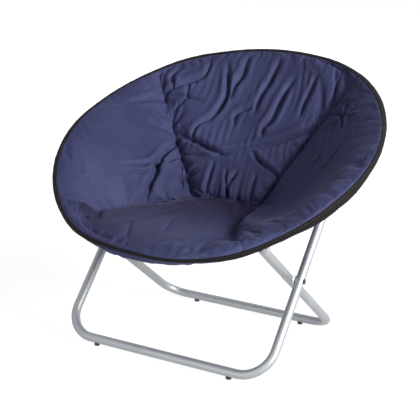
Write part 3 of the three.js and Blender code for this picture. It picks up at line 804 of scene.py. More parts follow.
# How much longer each sheet is than its seams are, as shares, in its middle and at the rim
SLACK = {
    "pad_back": (0.085, 0.05),
    "pad_right_rear": (0.035, 0.012),
    "pad_front": (0.05, 0.012),
    "pad_left_front": (0.03, 0.01),
}
CLOTH_FRAMES = 20
CLOTH_PRESSURE = 5.0
BENDING = 0.25
# How firmly the wadding and the rim hold the cloth
WADDING_PIN, RIM_PIN = 0.035, 0.12
# The farthest that the cloth moves and the least distance between a pad's two walls, in metres
CLOTH_CAP = 15.0 * MM
LEAST_WALL = 0.007
# Rows of the roll that move with the cloth, and coarse rows left out where a grid runs to a point
RIM_ROWS = 20
POINT_ROWS = 7
NARROW_END = 0.02


def join_sheet(walls, names, key):
    """The grids of one sheet's panels side by side, with the column that two of them share kept once."""
    return np.concatenate([walls[names[0]][key]] + [walls[name][key][:, 1:] for name in names[1:]], axis=1)


def finer(grid, axis):
    """One subdivision of a grid along an axis, passing smoothly through its points."""
    grid = np.moveaxis(grid, axis, 0)
    padded = np.concatenate([2 * grid[:1] - grid[1:2], grid, 2 * grid[-1:] - grid[-2:-1]])
    middle = (9 * (padded[1:-2] + padded[2:-1]) - padded[:-3] - padded[3:]) / 16
    made = np.empty((2 * len(grid) - 1, *grid.shape[1:]))
    made[::2], made[1::2] = grid, middle
    return np.moveaxis(made, 0, axis)


def room_in(wall):
    """How far a panel's inner cloth may move towards the outer one."""
    return np.maximum(np.linalg.norm(wall["top"] - wall["bottom"], axis=-1) - LEAST_WALL, 0)


def coarse_sheet(walls, names, count):
    """A sheet's coarse grid: points, faces, pins, slack, and what it takes to find its place again."""
    fine = join_sheet(walls, names, "top")
    rim = len(fine) // 2
    fine = np.concatenate([fine, join_sheet(walls, names, "roll")[1 : RIM_ROWS + 1]])
    free = join_sheet(walls, names, "free")[2 : RIM_ROWS + 1 : 2, ::2]
    coarse = fine[::2, ::2]
    # A side panel's grid runs to a point at the corner of the bottom, where its cells are too narrow to move
    first = 0 if np.linalg.norm(coarse[0, 0] - coarse[0, -1]) > NARROW_END else POINT_ROWS
    part = coarse[first:]
    rows, columns = part.shape[:2]
    index = count + np.arange(rows * columns).reshape(rows, columns)
    i, j = rim // 2, columns // 2
    turn = np.cross(part[i + 1, j] - part[i, j], part[i + 1, j + 1] - part[i, j])
    faces = grid_quads(index) if turn[2] > 0 else grid_quads(index)[:, ::-1]
    middle, edge = SLACK[names[0]]
    toward_rim = smoothstep(0.6, 0.95, (np.arange(rows) + first) / rim)
    order = np.arange(columns)
    from_seam = smoothstep(-2, 6, np.minimum(order, order[::-1]))
    slack = (middle + (edge - middle) * toward_rim)[:, None] * from_seam
    pins = np.full((rows, columns), WADDING_PIN)
    pins[rim - first :] = RIM_PIN
    pins[rim - first + 1 :][free < 0.5] = 1
    pins[0], pins[-1], pins[:, 0], pins[:, -1] = 1, 1, 1, 1
    return part.reshape(-1, 3), faces, pins.ravel(), slack.ravel(), (names, first, coarse.shape, index)


def run_cloth(points, faces, groups, most_slack):
    """Simulates a mesh as cloth and returns how far each of its points moves."""
    made = mesh_object("cloth_sheet", points, faces, MATERIALS["seat_fabric"])
    for name, weights in groups.items():
        group = made.vertex_groups.new(name=name)
        for weight in np.unique(weights):
            group.add([int(i) for i in np.where(weights == weight)[0]], float(weight), "REPLACE")
    cloth = made.modifiers.new("cloth", "CLOTH")
    settings = cloth.settings
    settings.quality = 5
    settings.mass = 0.25
    settings.tension_stiffness = settings.compression_stiffness = 15
    settings.shear_stiffness = 5
    settings.bending_stiffness = BENDING
    settings.vertex_group_mass = "held"
    settings.pin_stiffness = 1.0
    settings.use_pressure = True
    settings.uniform_pressure_force = CLOTH_PRESSURE
    settings.vertex_group_shrink = "slack"
    settings.shrink_min, settings.shrink_max = -most_slack, 0
    settings.effector_weights.gravity = 0
    cloth.collision_settings.use_collision = False
    cloth.point_cache.frame_start, cloth.point_cache.frame_end = 1, CLOTH_FRAMES
    scene = bpy.context.scene
    for frame_number in range(1, CLOTH_FRAMES + 1):
        scene.frame_set(frame_number)
        moved = made.evaluated_get(bpy.context.evaluated_depsgraph_get()).data
    end = np.empty(len(points) * 3, np.float32)
    moved.vertices.foreach_get("co", end)
    scene.frame_set(1)
    mesh = made.data
    bpy.data.objects.remove(made)
    bpy.data.meshes.remove(mesh)
    return end.reshape(-1, 3).astype(float) - points


def simulate_cloth(walls):
    """Lets the inner cloth swell and buckle between its seams, held by the wadding, and moves the walls."""
    sheets, count = [], 0
    for names in SHEETS:
        sheets.append(coarse_sheet(walls, names, count))
        count += len(sheets[-1][0])
    points, faces, pins, slack = (np.concatenate([sheet[i] for sheet in sheets]) for i in range(4))
    most = max(middle for middle, _ in SLACK.values())
    # Blender shrinks least where the group weighs most, so a sheet's slack is turned round
    groups = {"held": pins, "slack": 1 - np.round(slack / most, 2)}
    shift = run_cloth(points, faces, groups, most)
    length = np.linalg.norm(shift, axis=1, keepdims=True)
    shift *= CLOTH_CAP * np.tanh(length / CLOTH_CAP) / np.maximum(length, 1e-9)
    fade = np.linspace(1, 0, RIM_ROWS + 1)[1:, None, None] ** 0.25
    for *_, (names, first, shape, index) in sheets:
        coarse = np.zeros(shape)
        coarse[first:] = shift[index]
        change = finer(finer(coarse, 0), 1)
        column = 0
        for name in names:
            wall = walls[name]
            rows, width = wall["top"].shape[:2]
            part = change[:rows, column : column + width]
            wall["roll"][1 : RIM_ROWS + 1] += change[rows:, column : column + width] * fade
            # The cloth never comes nearer the other wall than the wadding allows
            normals = wall["top_normals"]
            lift = np.sum(part * normals, -1)
            wall["top"] = wall["top"] + part + normals * np.maximum(-room_in(wall) - lift, 0)[..., None]
            column += width - 1


def grid_normals(grid, up):
    """Normals of a grid of points, turned to the side that up gives."""
    made = np.cross(np.gradient(grid, axis=0), np.gradient(grid, axis=1))
    made = made / np.maximum(np.linalg.norm(made, axis=-1, keepdims=True), 1e-12)
    middle = made[made.shape[0] // 2, made.shape[1] // 2]
    return made if middle[2] * up > 0 else -made


def sharpen(walls):
    """Draws the creases' narrow bottoms again after the cloth has swollen over them."""
    for wall in walls.values():
        inner = 1 - np.exp(-rim_gap(wall["plan"]) / 14)
        cut = crease_depth(wall["plan"].reshape(-1, 2), 0.42, 0.7, 0.1).reshape(inner.shape) * inner * MM
        wall["top"] -= wall["top_normals"] * np.minimum(cut, room_in(wall))[..., None]


def find_normals(walls):
    """Gives every panel its normals. Panels that meet at the hinge line are one cloth, so they share them."""
    for wall in walls.values():
        wall["top_normals"] = grid_normals(wall["top"], 1)
        wall["bottom_normals"] = grid_normals(wall["bottom"], -1)
    for first, last in (names for names in SHEETS if len(names) > 1):
        for key in ("top_normals", "bottom_normals"):
            a, b = walls[first][key], walls[last][key]
            mean = a[:, -1] + b[:, 0]
            mean /= np.maximum(np.linalg.norm(mean, axis=-1, keepdims=True), 1e-12)
            a[:, -1] = b[:, 0] = mean


def closed_grid(name, upper, lower, upper_normals, lower_normals, plan, material, nap=None):
    """A closed piece between two grids of points that lie over each other."""
    rows, columns = upper.shape[:2]
    count = rows * columns
    index = np.arange(count).reshape(rows, columns)
    quads = grid_quads(index)
    edge = np.r_[index[:, 0], index[-1, 1:], index[:-1, -1][::-1], index[0, 1:-1][::-1]]
    following = np.roll(edge, -1)
    sides = np.stack([edge, edge + count, following + count, following], -1)
    faces = np.concatenate([quads, quads[:, TURNED_OVER] + count, sides])
    points = np.concatenate([upper.reshape(-1, 3), lower.reshape(-1, 3)])
    normals = np.concatenate([upper_normals.reshape(-1, 3), lower_normals.reshape(-1, 3)])
    i = index[(rows - 1) // 2, (columns - 1) // 2]
    turn = np.cross(points[i + columns] - points[i], points[i + columns + 1] - points[i])
    if turn @ normals[i] < 0:
        faces = faces[:, ::-1]
    made = mesh_object(name, points, faces, material)
    map_cloth(made, np.concatenate([plan.reshape(-1, 2)] * 2))
    made.data.normals_split_custom_set_from_vertices([tuple(n) for n in normals])
    # The painted shade goes on the inner cloth as a point attribute that the cloth material reads
    if nap is not None:
        values = np.concatenate([nap.ravel(), np.zeros(count)]).astype(np.float32)
        made.data.attributes.new("nap", "FLOAT", "POINT").data.foreach_set("value", values)
    return made


def make_panel(name, wall):
    sides = wall["top"], wall["bottom"], wall["top_normals"], wall["bottom_normals"]
    return closed_grid(name + "_quilt", *sides, wall["plan"], MATERIALS["seat_fabric"], wall["nap"])


# The least rows that a front panel keeps beyond the hinge line, and the rows of its two parts
KEPT_ROWS = 4
BASE_ROWS, BEYOND_ROWS = 56, 72


def split_wall(wall):
    """A front panel's two parts, before and beyond the ring's hinge line, where the cloth has to fold."""
    rows, width = wall["plan"].shape[:2]
    forward = wall["plan"][..., 1]
    cut = np.array([np.interp(HINGE_OFFSET, forward[:, j], np.arange(rows)) for j in range(width)])
    cut = np.minimum(cut, rows - KEPT_ROWS)

    def part(first, last, steps):
        at = first + (last - first) * np.linspace(0, 1, steps + 1)[:, None]
        low = np.minimum(at.astype(int), rows - 2)
        share = at - low
        columns = np.arange(width)[None]
        made = {}
        # The painted shade is carried over with the cloth's points
        for key in ("top", "bottom", "top_normals", "bottom_normals", "plan", "nap"):
            grid = wall[key]
            t = share.reshape(share.shape + (1,) * (grid.ndim - 2))
            made[key] = grid[low, columns] * (1 - t) + grid[low + 1, columns] * t
        return made

    return part(np.zeros(width), cut, BASE_ROWS), part(cut, np.full(width, rows - 1.0), BEYOND_ROWS)


# The roll of cloth over the tube and the tape on it

ROLL_ROWS = 34
ROLL_ORDER = {
    "rear_hoop": ("pad_left_rear", "pad_back", "pad_right_rear"),
    "front_hoop": ("pad_right_front", "pad_front", "pad_left_front"),
}
ROLL_INSIDE, TAPE_INSIDE, LEAST_ROLL = 11.5, 11.6, 11.9
# Cloth runs round the tube at about this radius
AROUND_TUBE = 16.6

# Where the binding lies round the tube: ring angle, then its lower and upper edges' polar angles, in degrees.
# The cloth has turned on the tube, so the tape runs from its top at the back to its outer side at the right.
BINDING = [
    (-180, 34, 102), (-165, 38, 106), (-150, 42, 108), (-120, 38, 117), (-90, 28, 117), (-75, 20, 112),
    (-60, 12, 106), (-45, 3, 97), (-30, -12, 86), (-15, -27, 70), (0, -44, 57), (8, -50, 53), (15, -54, 48),
    (25, -56, 46), (35, -56, 42), (42, -52, 38), (55, -45, 26), (66, -35, 28), (72, -20, 33), (80, 12, 52),
    (90, 40, 84), (98, 46, 88), (104, 30, 80), (111, -10, 58), (120, -28, 50), (135, -10, 80), (150, 10, 103),
    (165, 26, 104), (180, 34, 102),
]

# How far the rim's outline stands from the tube's axis: ring angle, radius in millimetres, tape included
OUTLINE = [
    (-180, 16.7), (-174, 14.9), (-168, 13.0), (-162, 12.6), (-144, 12.6), (-138, 13.1), (-132, 15.5),
    (-126, 15.4), (-120, 14.7), (-114, 12.6), (-78, 12.6), (-72, 14.4), (-66, 16.4), (-60, 16.8), (-54, 18.0),
    (-48, 19.0), (-42, 17.9), (-36, 17.5), (-30, 16.6), (-24, 14.2), (-18, 15.0), (-12, 13.0), (-6, 14.4),
    (6, 14.6), (12, 18.0), (18, 20.6), (24, 19.4), (30, 21.6), (36, 15.8), (42, 13.9), (48, 15.8), (54, 18.2),
    (60, 20.2), (66, 13.6), (72, 12.6), (108, 12.6), (114, 13.6), (120, 16.8), (126, 14.4), (132, 13.2),
    (138, 13.4), (144, 12.6), (162, 12.8), (168, 15.8), (174, 16.2), (180, 16.7),
]
BLUR_DEGREES = (-4, -2, 0, 2, 4)


def around_ring(table, angle):
    """The values of a table at ring angles, passing smoothly between its rows."""
    knots = np.array(table, float)
    degrees = np.degrees(wrapped(angle))
    blurred = []
    for column in range(1, knots.shape[1]):
        places = [(degrees + offset + 180) % 360 - 180 for offset in BLUR_DEGREES]
        blurred.append(np.mean([np.interp(place, knots[:, 0], knots[:, column]) for place in places], axis=0))
    return blurred


def binding_at(angle):
    """The polar angle of the tape's middle and its half-width, at ring angles."""
    low, high = around_ring(BINDING, angle)
    return np.radians((low + high) / 2), np.radians((high - low) / 2)


def roll_section(angle, over, under):
    """The cloth over the tube, from the inner cloth to the outer: polar angles and radii about its axis."""
    inward = PAD_EDGE - RING_RADIUS
    start, start_r = np.arctan2(-over, inward), np.hypot(over, inward)
    end, end_r = np.arctan2(-under, inward), np.hypot(under, inward)
    t = np.linspace(0, 1, ROLL_ROWS + 1)[:, None]
    polar = start + (end - start) * t
    (outline,) = around_ring(OUTLINE, angle)
    base = (outline - TAPE)[None] + np.zeros_like(polar)
    for seam in SEWN:
        away = wrapped(angle - SEAMS[seam].angle) * RING_RADIUS
        base -= (2.0 * bump(away, 0, 3.5))[None] * np.sin(math.pi * t) ** 0.5
    # The cloth is drawn down on to the tube where the tape begins
    middle, half = binding_at(angle)
    wide = smoothstep(0, 1, (start - polar) / np.maximum(start - middle - half, math.radians(14)))
    from_end = smoothstep(0.0, 0.35, 1 - t)
    radius = start_r[None] * (1 - wide) + base * wide
    radius = end_r[None] * (1 - from_end) + radius * from_end
    return polar, np.maximum(radius, LEAST_ROLL)


def round_tube(angle, polar, radius):
    """Points round the ring's tube, in metres, from ring angles and polar angles and radii about its axis."""
    reach = RING_RADIUS + radius * np.cos(polar)
    return ring_point(reach * np.cos(angle), reach * np.sin(angle), -radius * np.sin(polar))


def roll_part(wall):
    """The roll's outer cloth beside one panel, its polar angles and how far it lies free of the tape."""
    angle = wall["angle"]
    polar, radius = roll_section(angle, wall["over"], wall["under"])
    reach = RING_RADIUS + radius * np.cos(polar)
    x, forward = reach * np.cos(angle), reach * np.sin(angle)
    outer = ring_point(x, forward, np.minimum(-radius * np.sin(polar), deepest_allowed(x, forward)))
    outer[0], outer[-1] = wall["top"][-1], wall["bottom"][-1]
    middle, half = binding_at(angle)
    return outer, polar, smoothstep(0.0, 0.5, polar - (middle + half)[None])


def wrap_tube(name, angle, polar, outer, inside, material, ends=None):
    """A closed piece round the ring's tube, from its outer points to an inner radius."""
    inner = round_tube(angle[None], polar, np.full_like(polar, inside))
    normals = grid_normals(outer, 1)
    if np.sum(normals * (outer - inner)) < 0:
        normals = -normals
    if ends:
        normals[0], normals[-1] = ends
    plan = np.stack([np.broadcast_to(angle * RING_RADIUS, polar.shape), polar * AROUND_TUBE], -1)
    return closed_grid(name, outer, inner, normals, -normals, plan, MATERIALS[material])


def make_roll(name, body, walls):
    """The cloth that wraps the ring's tube, from the bowl's inner cloth over the tube to its outer cloth."""
    first, *others = [walls[panel] for panel in ROLL_ORDER[body]]

    def joined(key):
        return np.concatenate([first[key]] + [part[key][:, 1:] for part in others], 1)

    def edge(key):
        return np.concatenate([first[key][-1]] + [part[key][-1, 1:] for part in others])

    angle = np.unwrap(np.concatenate([first["angle"]] + [part["angle"][1:] for part in others]))
    outer = joined("roll")
    outer[0], outer[-1] = edge("top"), edge("bottom")
    ends = edge("top_normals"), edge("bottom_normals")
    made = wrap_tube(name, angle, joined("polar"), outer, ROLL_INSIDE, "seat_fabric", ends)
    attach(made, body)


def binding_surface(angle, q):
    """Polar angle and radius of the tape's face; q runs from -1 to 1 across it."""
    polar, half = binding_at(angle)
    run = (angle + 7) * RING_RADIUS
    (outline,) = around_ring(OUTLINE, angle)
    swell = 1.5 + 0.3 * ripple(run, 501, 14.0) + 0.2 * ripple(run, 502, 5.0)
    radius = outline - TAPE - 0.5 + swell * (1 - np.abs(q) ** 3) ** (1 / 3)
    return polar + q * half, radius


TAPE_STEPS, TAPE_COLUMNS = 420, 15


def make_binding(name, side, body):
    """The black tape sewn round the outer edge of the cloth."""
    angle = hoop_angles(side, BINDING_END_GAP, TAPE_STEPS)
    q = np.sin(np.linspace(-math.pi / 2, math.pi / 2, TAPE_COLUMNS))[:, None]
    polar, radius = binding_surface(angle[None], q)
    outer = round_tube(angle[None], polar, radius)
    made = wrap_tube(name, angle, polar, outer, TAPE_INSIDE, "sleeve_fabric")
    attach(made, body)


# Stitches

STITCH_PITCH_SHARE = 1.45
SEAM_TO_STITCH = 0.006
# Rows at a seam's inner end, and grids narrower than this, carry no stitches
BARE_ROWS = 3
NARROW_GRID = 0.06
BINDING_ROWS = (-0.62, 0.62)
BINDING_STITCH_GAP, BINDING_STITCH_STEPS = 3.0, 500


def stitch_tree():
    """Geometry Nodes: lays short threads end to end along a path, with a gap between them."""
    inputs = {"Pitch": "Float", "Length": "Float", "Thickness": "Float"}
    tree, start = new_tree("stitches_along_path", inputs)
    path = {"Curve": start["Geometry"], "Length": start["Pitch"]}
    spaced = node(tree, "GeometryNodeResampleCurve", path, mode="LENGTH")
    tangent = node(tree, "GeometryNodeInputTangent")
    turn = node(tree, "FunctionNodeAlignEulerToVector", {"Vector": tangent}, axis="Z")
    thick = start["Thickness"]
    size = node(tree, "ShaderNodeCombineXYZ", {"X": thick, "Y": thick, "Z": start["Length"]})
    thread = node(tree, "GeometryNodeMeshUVSphere", _Segments=6, _Rings=5, _Radius=0.5)
    links = {"Points": spaced, "Instance": thread, "Rotation": turn, "Scale": size}
    laid = node(tree, "GeometryNodeInstanceOnPoints", links)
    return end_tree(tree, laid, start["Material"])


def beside_seam(wall, at_end, gap):
    """A line on a panel's inner cloth that keeps a distance from its first or last seam."""
    grid = wall["top"][:, ::-1] if at_end else wall["top"]
    steps = np.linalg.norm(np.diff(grid, axis=1), axis=2)
    run = np.concatenate([np.zeros((len(grid), 1)), np.cumsum(steps, axis=1)], axis=1)
    path = []
    for i in range(BARE_ROWS, len(grid) - 1):
        if run[i, -1] < NARROW_GRID:
            continue
        j = int(np.searchsorted(run[i], gap)) - 1
        t = (gap - run[i, j]) / (run[i, j + 1] - run[i, j])
        path.append(Vector(grid[i, j] * (1 - t) + grid[i, j + 1] * t))
    return path


def stitched(name, paths, material, tree, sizes):
    length = sizes.stitch_length
    size = dict(Pitch=length * STITCH_PITCH_SHARE, Length=length, Thickness=sizes.thread)
    return run_tree(poly_curve(name, paths), tree, **size, Material=MATERIALS[material])


def ride_and_fold(made, body):
    """The cloth rides on its hoop, on a mesh of its own."""
    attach(made, body)
    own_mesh(made)


# Sleeves

SLEEVE_STEPS, SLEEVE_SIDES = 300, 36
SLEEVE_WAVE = 0.06
SIDES_TO_A_WAVE = 6


def make_sleeve(name, side, body, replaced, sizes):
    """The fabric sleeve round a hoop's tube: a slightly uneven tube with closed ends."""
    sides = SLEEVE_SIDES
    angles = hoop_angles(side, SLEEVE_END_GAP, SLEEVE_STEPS)
    centre = hoop_centre(angles)
    tilt = FRONT_TILT if side > 0 else REAR_TILT
    back, up = back_of(tilt), up_of(tilt)
    out = np.stack([np.cos(angles), -np.sin(angles) * back[0], -np.sin(angles) * back[1]], -1)
    lift = np.broadcast_to(np.array((0, *up)), out.shape)
    around = 2 * math.pi * np.arange(sides) / sides
    run = (angles + 7) * RING_RADIUS
    radius = np.full((len(angles), sides), sizes.sleeve_radius / MM)
    for j in range(sides):
        radius[:, j] += SLEEVE_WAVE * ripple(run, 201 + j // SIDES_TO_A_WAVE, 26.0)
    outward = np.cos(around)[None, :, None] * out[:, None] + np.sin(around)[None, :, None] * lift[:, None]
    place = (centre[:, None] + radius[..., None] * outward) * MM
    points = np.concatenate([place.reshape(-1, 3), centre[[0, -1]] * MM])
    index = np.arange(len(angles) * sides).reshape(-1, sides)
    index = np.concatenate([index, index[:, :1]], axis=1)
    faces = [tuple(quad) for quad in grid_quads(index)[:, TURNED_OVER]]
    first, last = len(points) - 2, len(points) - 1
    faces += [(first, k, j) for j, k in zip(index[0], index[0, 1:])]
    faces += [(last, j, k) for j, k in zip(index[-1], index[-1, 1:])]
    if side < 0:
        faces = [f[::-1] for f in faces]
    made = mesh_object(name, points, faces, MATERIALS["sleeve_fabric"])
    v = np.tile(around * sizes.sleeve_radius / MM, len(angles))
    map_cloth(made, np.concatenate([np.stack([np.repeat(run, sides), v], -1), np.zeros((2, 2))]))
    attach(made, body)
    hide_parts(replaced)


# Settings


class ChairColours(bpy.types.PropertyGroup):
    tube: bpy.props.FloatVectorProperty(
        name="Tube", description="Paint of the steel tube", subtype="COLOR", size=3, min=0, max=1,
        default=srgb("#9ea2a7"),
    )


class SeatSizes(bpy.types.PropertyGroup):
    crown_inside: bpy.props.FloatProperty(
        name="Crown inside", description="How far a panel swells on the sitter's side", default=0.015,
        unit="LENGTH",
    )
    crown_outside: bpy.props.FloatProperty(
        name="Crown outside", description="How far a panel swells underneath", default=0.011, unit="LENGTH"
    )
    stitch_length: bpy.props.FloatProperty(
        name="Stitch length", description="Length of one stitch", default=0.005, unit="LENGTH"
    )
    thread: bpy.props.FloatProperty(
        name="Thread", description="Thickness of the sewing thread", default=0.001, unit="LENGTH"
    )
    sleeve_radius: bpy.props.FloatProperty(
        name="Sleeve radius", description="Radius of the fabric sleeve round the ring", default=0.0113,
        unit="LENGTH",
    )


class FrameSizes(bpy.types.PropertyGroup):
    tube_radius: bpy.props.FloatProperty(
        name="Tube radius", description="Outer radius of the steel tube", default=0.011, unit="LENGTH"
    )


# Words in a fitting's node name, by the slot that it gets
FINISHES = {
    "painted_tube": ("bracket", "hinge_strap"),
    "zinc_hardware": ("cross_nut", "hoop_bolt", "hoop_nut", "rear_leg_pin", "rivet"),
    "dark_plastic": ("plug", "foot", "cross_bolt"),
    "nylon_spacer": ("spacer",),
}


class SAUCER_OT_frame(bpy.types.Operator):
    """Sweeps the leg frames and hoops and finishes the metal and plastic fittings"""

    bl_idname = "saucer.frame"
    bl_label = "Frame"

    def execute(self, context):
        make_materials(context.scene.chair_colours)
        tree = tube_tree()
        radius = context.scene.chair_frame.tube_radius
        make_tube("front_leg_tube", leg_path(FRONT_LEG), radius, "front_legs", "front_leg_frame", tree)
        make_tube("rear_leg_tube", leg_path(REAR_LEG), radius, "rear_legs", "rear_leg_frame", tree)
        make_tube("rear_hoop_tube", hoop_path(-1), radius, "rear_hoop", "rear_hoop", tree)
        make_tube("front_hoop_tube", hoop_path(1), radius, "front_hoop", "front_hoop", tree)
        for name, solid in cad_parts.items():
            for slot, words in FINISHES.items():
                if any(word in name for word in words):
                    for holder in solid.material_slots:
                        holder.material = MATERIALS[slot]
        return {"FINISHED"}


class SAUCER_OT_sleeves(bpy.types.Operator):
    """Makes the dark fabric sleeves round the two hoops and the tape outside them"""

    bl_idname = "saucer.sleeves"
    bl_label = "Sleeves"

    def execute(self, context):
        sizes = context.scene.chair_seat
        make_sleeve("rear_tube_sleeve", -1, "rear_hoop", "rear_sleeve", sizes)
        make_sleeve("front_tube_sleeve", 1, "front_hoop", "front_sleeve", sizes)
        make_binding("rear_binding", -1, "rear_hoop")
        make_binding("front_binding", 1, "front_hoop")
        return {"FINISHED"}


def seat_parts(walls):
    """The pieces of the bowl: name, panel, walls and body.

    The front panels' cloth before the hinge line stays with the rear hoop, so the bowl folds along that line.
    """
    parts = []
    for name, (_, _, _, _, body) in PANELS.items():
        if body == "front_hoop":
            before, beyond = split_wall(walls[name])
            parts += [(name + "_base", name, before, "rear_hoop"), (name, name, beyond, body)]
        else:
            parts.append((name, name, walls[name], body))
    return parts


class SAUCER_OT_seat(bpy.types.Operator):
    """Makes the padded bowl of four sewn panels, its roll over the ring and its stitches"""

    bl_idname = "saucer.seat"
    bl_label = "Seat"

    def execute(self, context):
        sizes = context.scene.chair_seat
        walls = {name: panel_walls(name, sizes) for name in PANELS}
        find_normals(walls)
        simulate_cloth(walls)
        find_normals(walls)
        sharpen(walls)
        find_normals(walls)
        parts = seat_parts(walls)
        for piece, name, wall, body in parts:
            made = make_panel(piece, wall)
            ride_and_fold(made, body)
            if piece == name:
                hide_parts(name)
        make_roll("rear_rim_roll", "rear_hoop", walls)
        make_roll("front_rim_roll", "front_hoop", walls)
        self.stitch_seams(parts, sizes)
        return {"FINISHED"}

    def stitch_seams(self, parts, sizes):
        tree = stitch_tree()
        seams = {"rear_hoop": [], "front_hoop": []}
        for _, name, wall, body in parts:
            for key, at_end in zip(PANELS[name][:2], (False, True)):
                if key in SEWN:
                    seams[body].append(beside_seam(wall, at_end, SEAM_TO_STITCH))
        for body, paths in seams.items():
            made = stitched(body + "_seam_stitches", paths, "thread", tree, sizes)
            ride_and_fold(made, body)
        for side, body in ((-1, "rear_hoop"), (1, "front_hoop")):
            angle = hoop_angles(side, BINDING_STITCH_GAP, BINDING_STITCH_STEPS)
            paths = []
            for q in BINDING_ROWS:
                polar, radius = binding_surface(angle, q)
                paths.append([Vector(p) for p in round_tube(angle, polar, radius + 0.1)])
            made = stitched(body + "_binding_stitches", paths, "binding_thread", tree, sizes)
            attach(made, body)


# The stage: half the floor's width, lamps with place, size, power and colour, and where they look
FLOOR_HALF = 30
LAMPS = (
    ("key", (2.95, -0.75, 1.5), 1.2, 190, (1, 0.995, 0.95)),
    ("fill", (-1.6, -2.6, 1.2), 1.8, 2.0, (1, 0.94, 0.97)),
    ("back", (0.4, 2.4, 2.4), 1.6, 10, (1, 1, 1)),
    ("low", (-0.2, -1.3, 0.12), 0.8, 5, (1, 0.95, 0.97)),
)
LAMP_TARGET = (0, 0, 0.35)
CAMERA_YAW, CAMERA_PITCH, CAMERA_ROLL = (math.radians(degrees) for degrees in (28.657, 12.897, 2.704))
CAMERA_PLACE = (1.16380, -2.14592, 0.88696)
CAMERA_SENSOR, CAMERA_LENS = 36, 86.31


def white_share(tree, mirrored):
    """How much of plain white a ray sees: all from the camera, and a share from a mirroring surface."""
    seen = node(tree, "ShaderNodeLightPath").outputs
    direct = {0: seen["Is Camera Ray"], 1: seen["Is Transmission Ray"]}
    shine = node(tree, "ShaderNodeMath", {0: seen["Is Glossy Ray"]}, operation="MULTIPLY", _1=mirrored)
    links = {0: node(tree, "ShaderNodeMath", direct, operation="ADD"), 1: shine}
    return node(tree, "ShaderNodeMath", links, operation="ADD", use_clamp=True)


def make_floor():
    """Near the chair the floor keeps its shadow, and further off it runs out into the white backdrop."""
    mesh = bpy.data.meshes.new("floor")
    corners = [(x * FLOOR_HALF, y * FLOOR_HALF, 0) for x, y in ((-1, -1), (1, -1), (1, 1), (-1, 1))]
    mesh.from_pydata(corners, [], [(0, 1, 2, 3)])
    material, tree, place = new_material("pale_floor")
    reach = node(tree, "ShaderNodeVectorMath", {0: place}, operation="LENGTH").outputs["Value"]
    run_out = between(tree, reach, 0.68, 1.0, _From_Min=0.9, _From_Max=2.4)
    share = node(tree, "ShaderNodeMath", {0: white_share(tree, 1.0), 1: run_out}, operation="MULTIPLY")
    paint = node(tree, "ShaderNodeBsdfDiffuse", _Color=(0.85, 0.85, 0.85, 1))
    white = node(tree, "ShaderNodeEmission", _Color=(1, 1, 1, 1), _Strength=1.34)
    mixed = node(tree, "ShaderNodeMixShader", {0: share, 1: paint, 2: white})
    node(tree, "ShaderNodeOutputMaterial", {"Surface": mixed})
    mesh.materials.append(material)
    floor = new_object("floor", mesh)


def make_world():
    """A white backdrop that lights the chair only softly."""
    world = bpy.data.worlds.new("studio")
    bpy.context.scene.world = world
    world.use_nodes = True
    tree = world.node_tree
    tree.nodes.clear()
    white = node(tree, "ShaderNodeBackground", _Color=(1, 1, 1, 1), _Strength=1.0)
    soft = node(tree, "ShaderNodeBackground", _Color=(1, 0.79, 0.92, 1), _Strength=0.105)
    mixed = node(tree, "ShaderNodeMixShader", {0: white_share(tree, 0.95), 1: soft, 2: white})
    node(tree, "ShaderNodeOutputWorld", {"Surface": mixed})


def make_lamps():
    for name, place, size, power, colour in LAMPS:
        lamp = bpy.data.lights.new(name, "AREA")
        lamp.size = size
        lamp.energy = power
        lamp.color = colour
        made = new_object(name, lamp)
        made.location = place
        made.rotation_euler = (Vector(LAMP_TARGET) - Vector(place)).to_track_quat("-Z", "Y").to_euler()


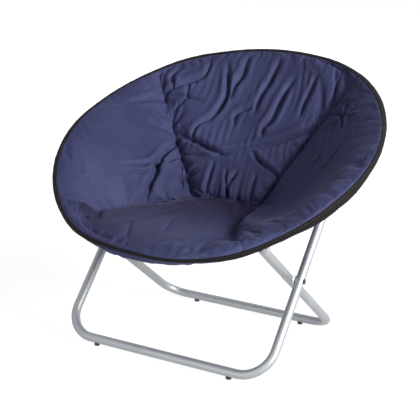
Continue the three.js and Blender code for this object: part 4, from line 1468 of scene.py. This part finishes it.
def make_camera():
    """The camera that was fitted to the photograph."""
    yaw, pitch, roll = CAMERA_YAW, CAMERA_PITCH, CAMERA_ROLL
    ahead = Vector((-math.sin(yaw) * math.cos(pitch), math.cos(yaw) * math.cos(pitch), -math.sin(pitch)))
    right = Vector((math.cos(yaw), math.sin(yaw), 0))
    up = right.cross(ahead)
    tilted_right = right * math.cos(roll) + up * math.sin(roll)
    tilted_up = -right * math.sin(roll) + up * math.cos(roll)
    lens = bpy.data.cameras.new("camera")
    lens.sensor_width = CAMERA_SENSOR
    lens.lens = CAMERA_LENS
    lens.clip_end = 200
    camera = new_object("camera", lens)
    turn = Matrix((tilted_right, tilted_up, -ahead)).transposed().to_4x4()
    camera.matrix_world = Matrix.Translation(Vector(CAMERA_PLACE)) @ turn
    bpy.context.scene.camera = camera


class SAUCER_OT_stage(bpy.types.Operator):
    """Sets the floor, the soft lamps and the camera"""

    bl_idname = "saucer.stage"
    bl_label = "Stage"

    def execute(self, context):
        make_floor()
        make_world()
        make_lamps()
        make_camera()
        context.scene.view_settings.view_transform = "Standard"
        return {"FINISHED"}


class SAUCER_PT_panel(bpy.types.Panel):
    bl_label = "Saucer Chair"
    bl_idname = "SAUCER_PT_panel"
    bl_space_type = "VIEW_3D"
    bl_region_type = "UI"
    bl_category = "Saucer Chair"

    def draw(self, context):
        for group in (context.scene.chair_frame, context.scene.chair_seat, context.scene.chair_colours):
            for name in group.__annotations__:
                self.layout.prop(group, name)
        for operator in OPERATORS:
            self.layout.operator(operator.bl_idname)


GROUPS = {"chair_colours": ChairColours, "chair_seat": SeatSizes, "chair_frame": FrameSizes}
OPERATORS = (SAUCER_OT_frame, SAUCER_OT_sleeves, SAUCER_OT_seat, SAUCER_OT_stage)


def register():
    for name, group in GROUPS.items():
        bpy.utils.register_class(group)
        setattr(bpy.types.Scene, name, bpy.props.PointerProperty(type=group))
    for operator in OPERATORS:
        bpy.utils.register_class(operator)
    bpy.utils.register_class(SAUCER_PT_panel)


def unregister():
    bpy.utils.unregister_class(SAUCER_PT_panel)
    for operator in reversed(OPERATORS):
        bpy.utils.unregister_class(operator)
    for name, group in GROUPS.items():
        delattr(bpy.types.Scene, name)
        bpy.utils.unregister_class(group)


def main():
    register()
    bpy.ops.saucer.frame()
    bpy.ops.saucer.sleeves()
    bpy.ops.saucer.seat()
    bpy.ops.saucer.stage()


if __name__ == "__main__":
    main()
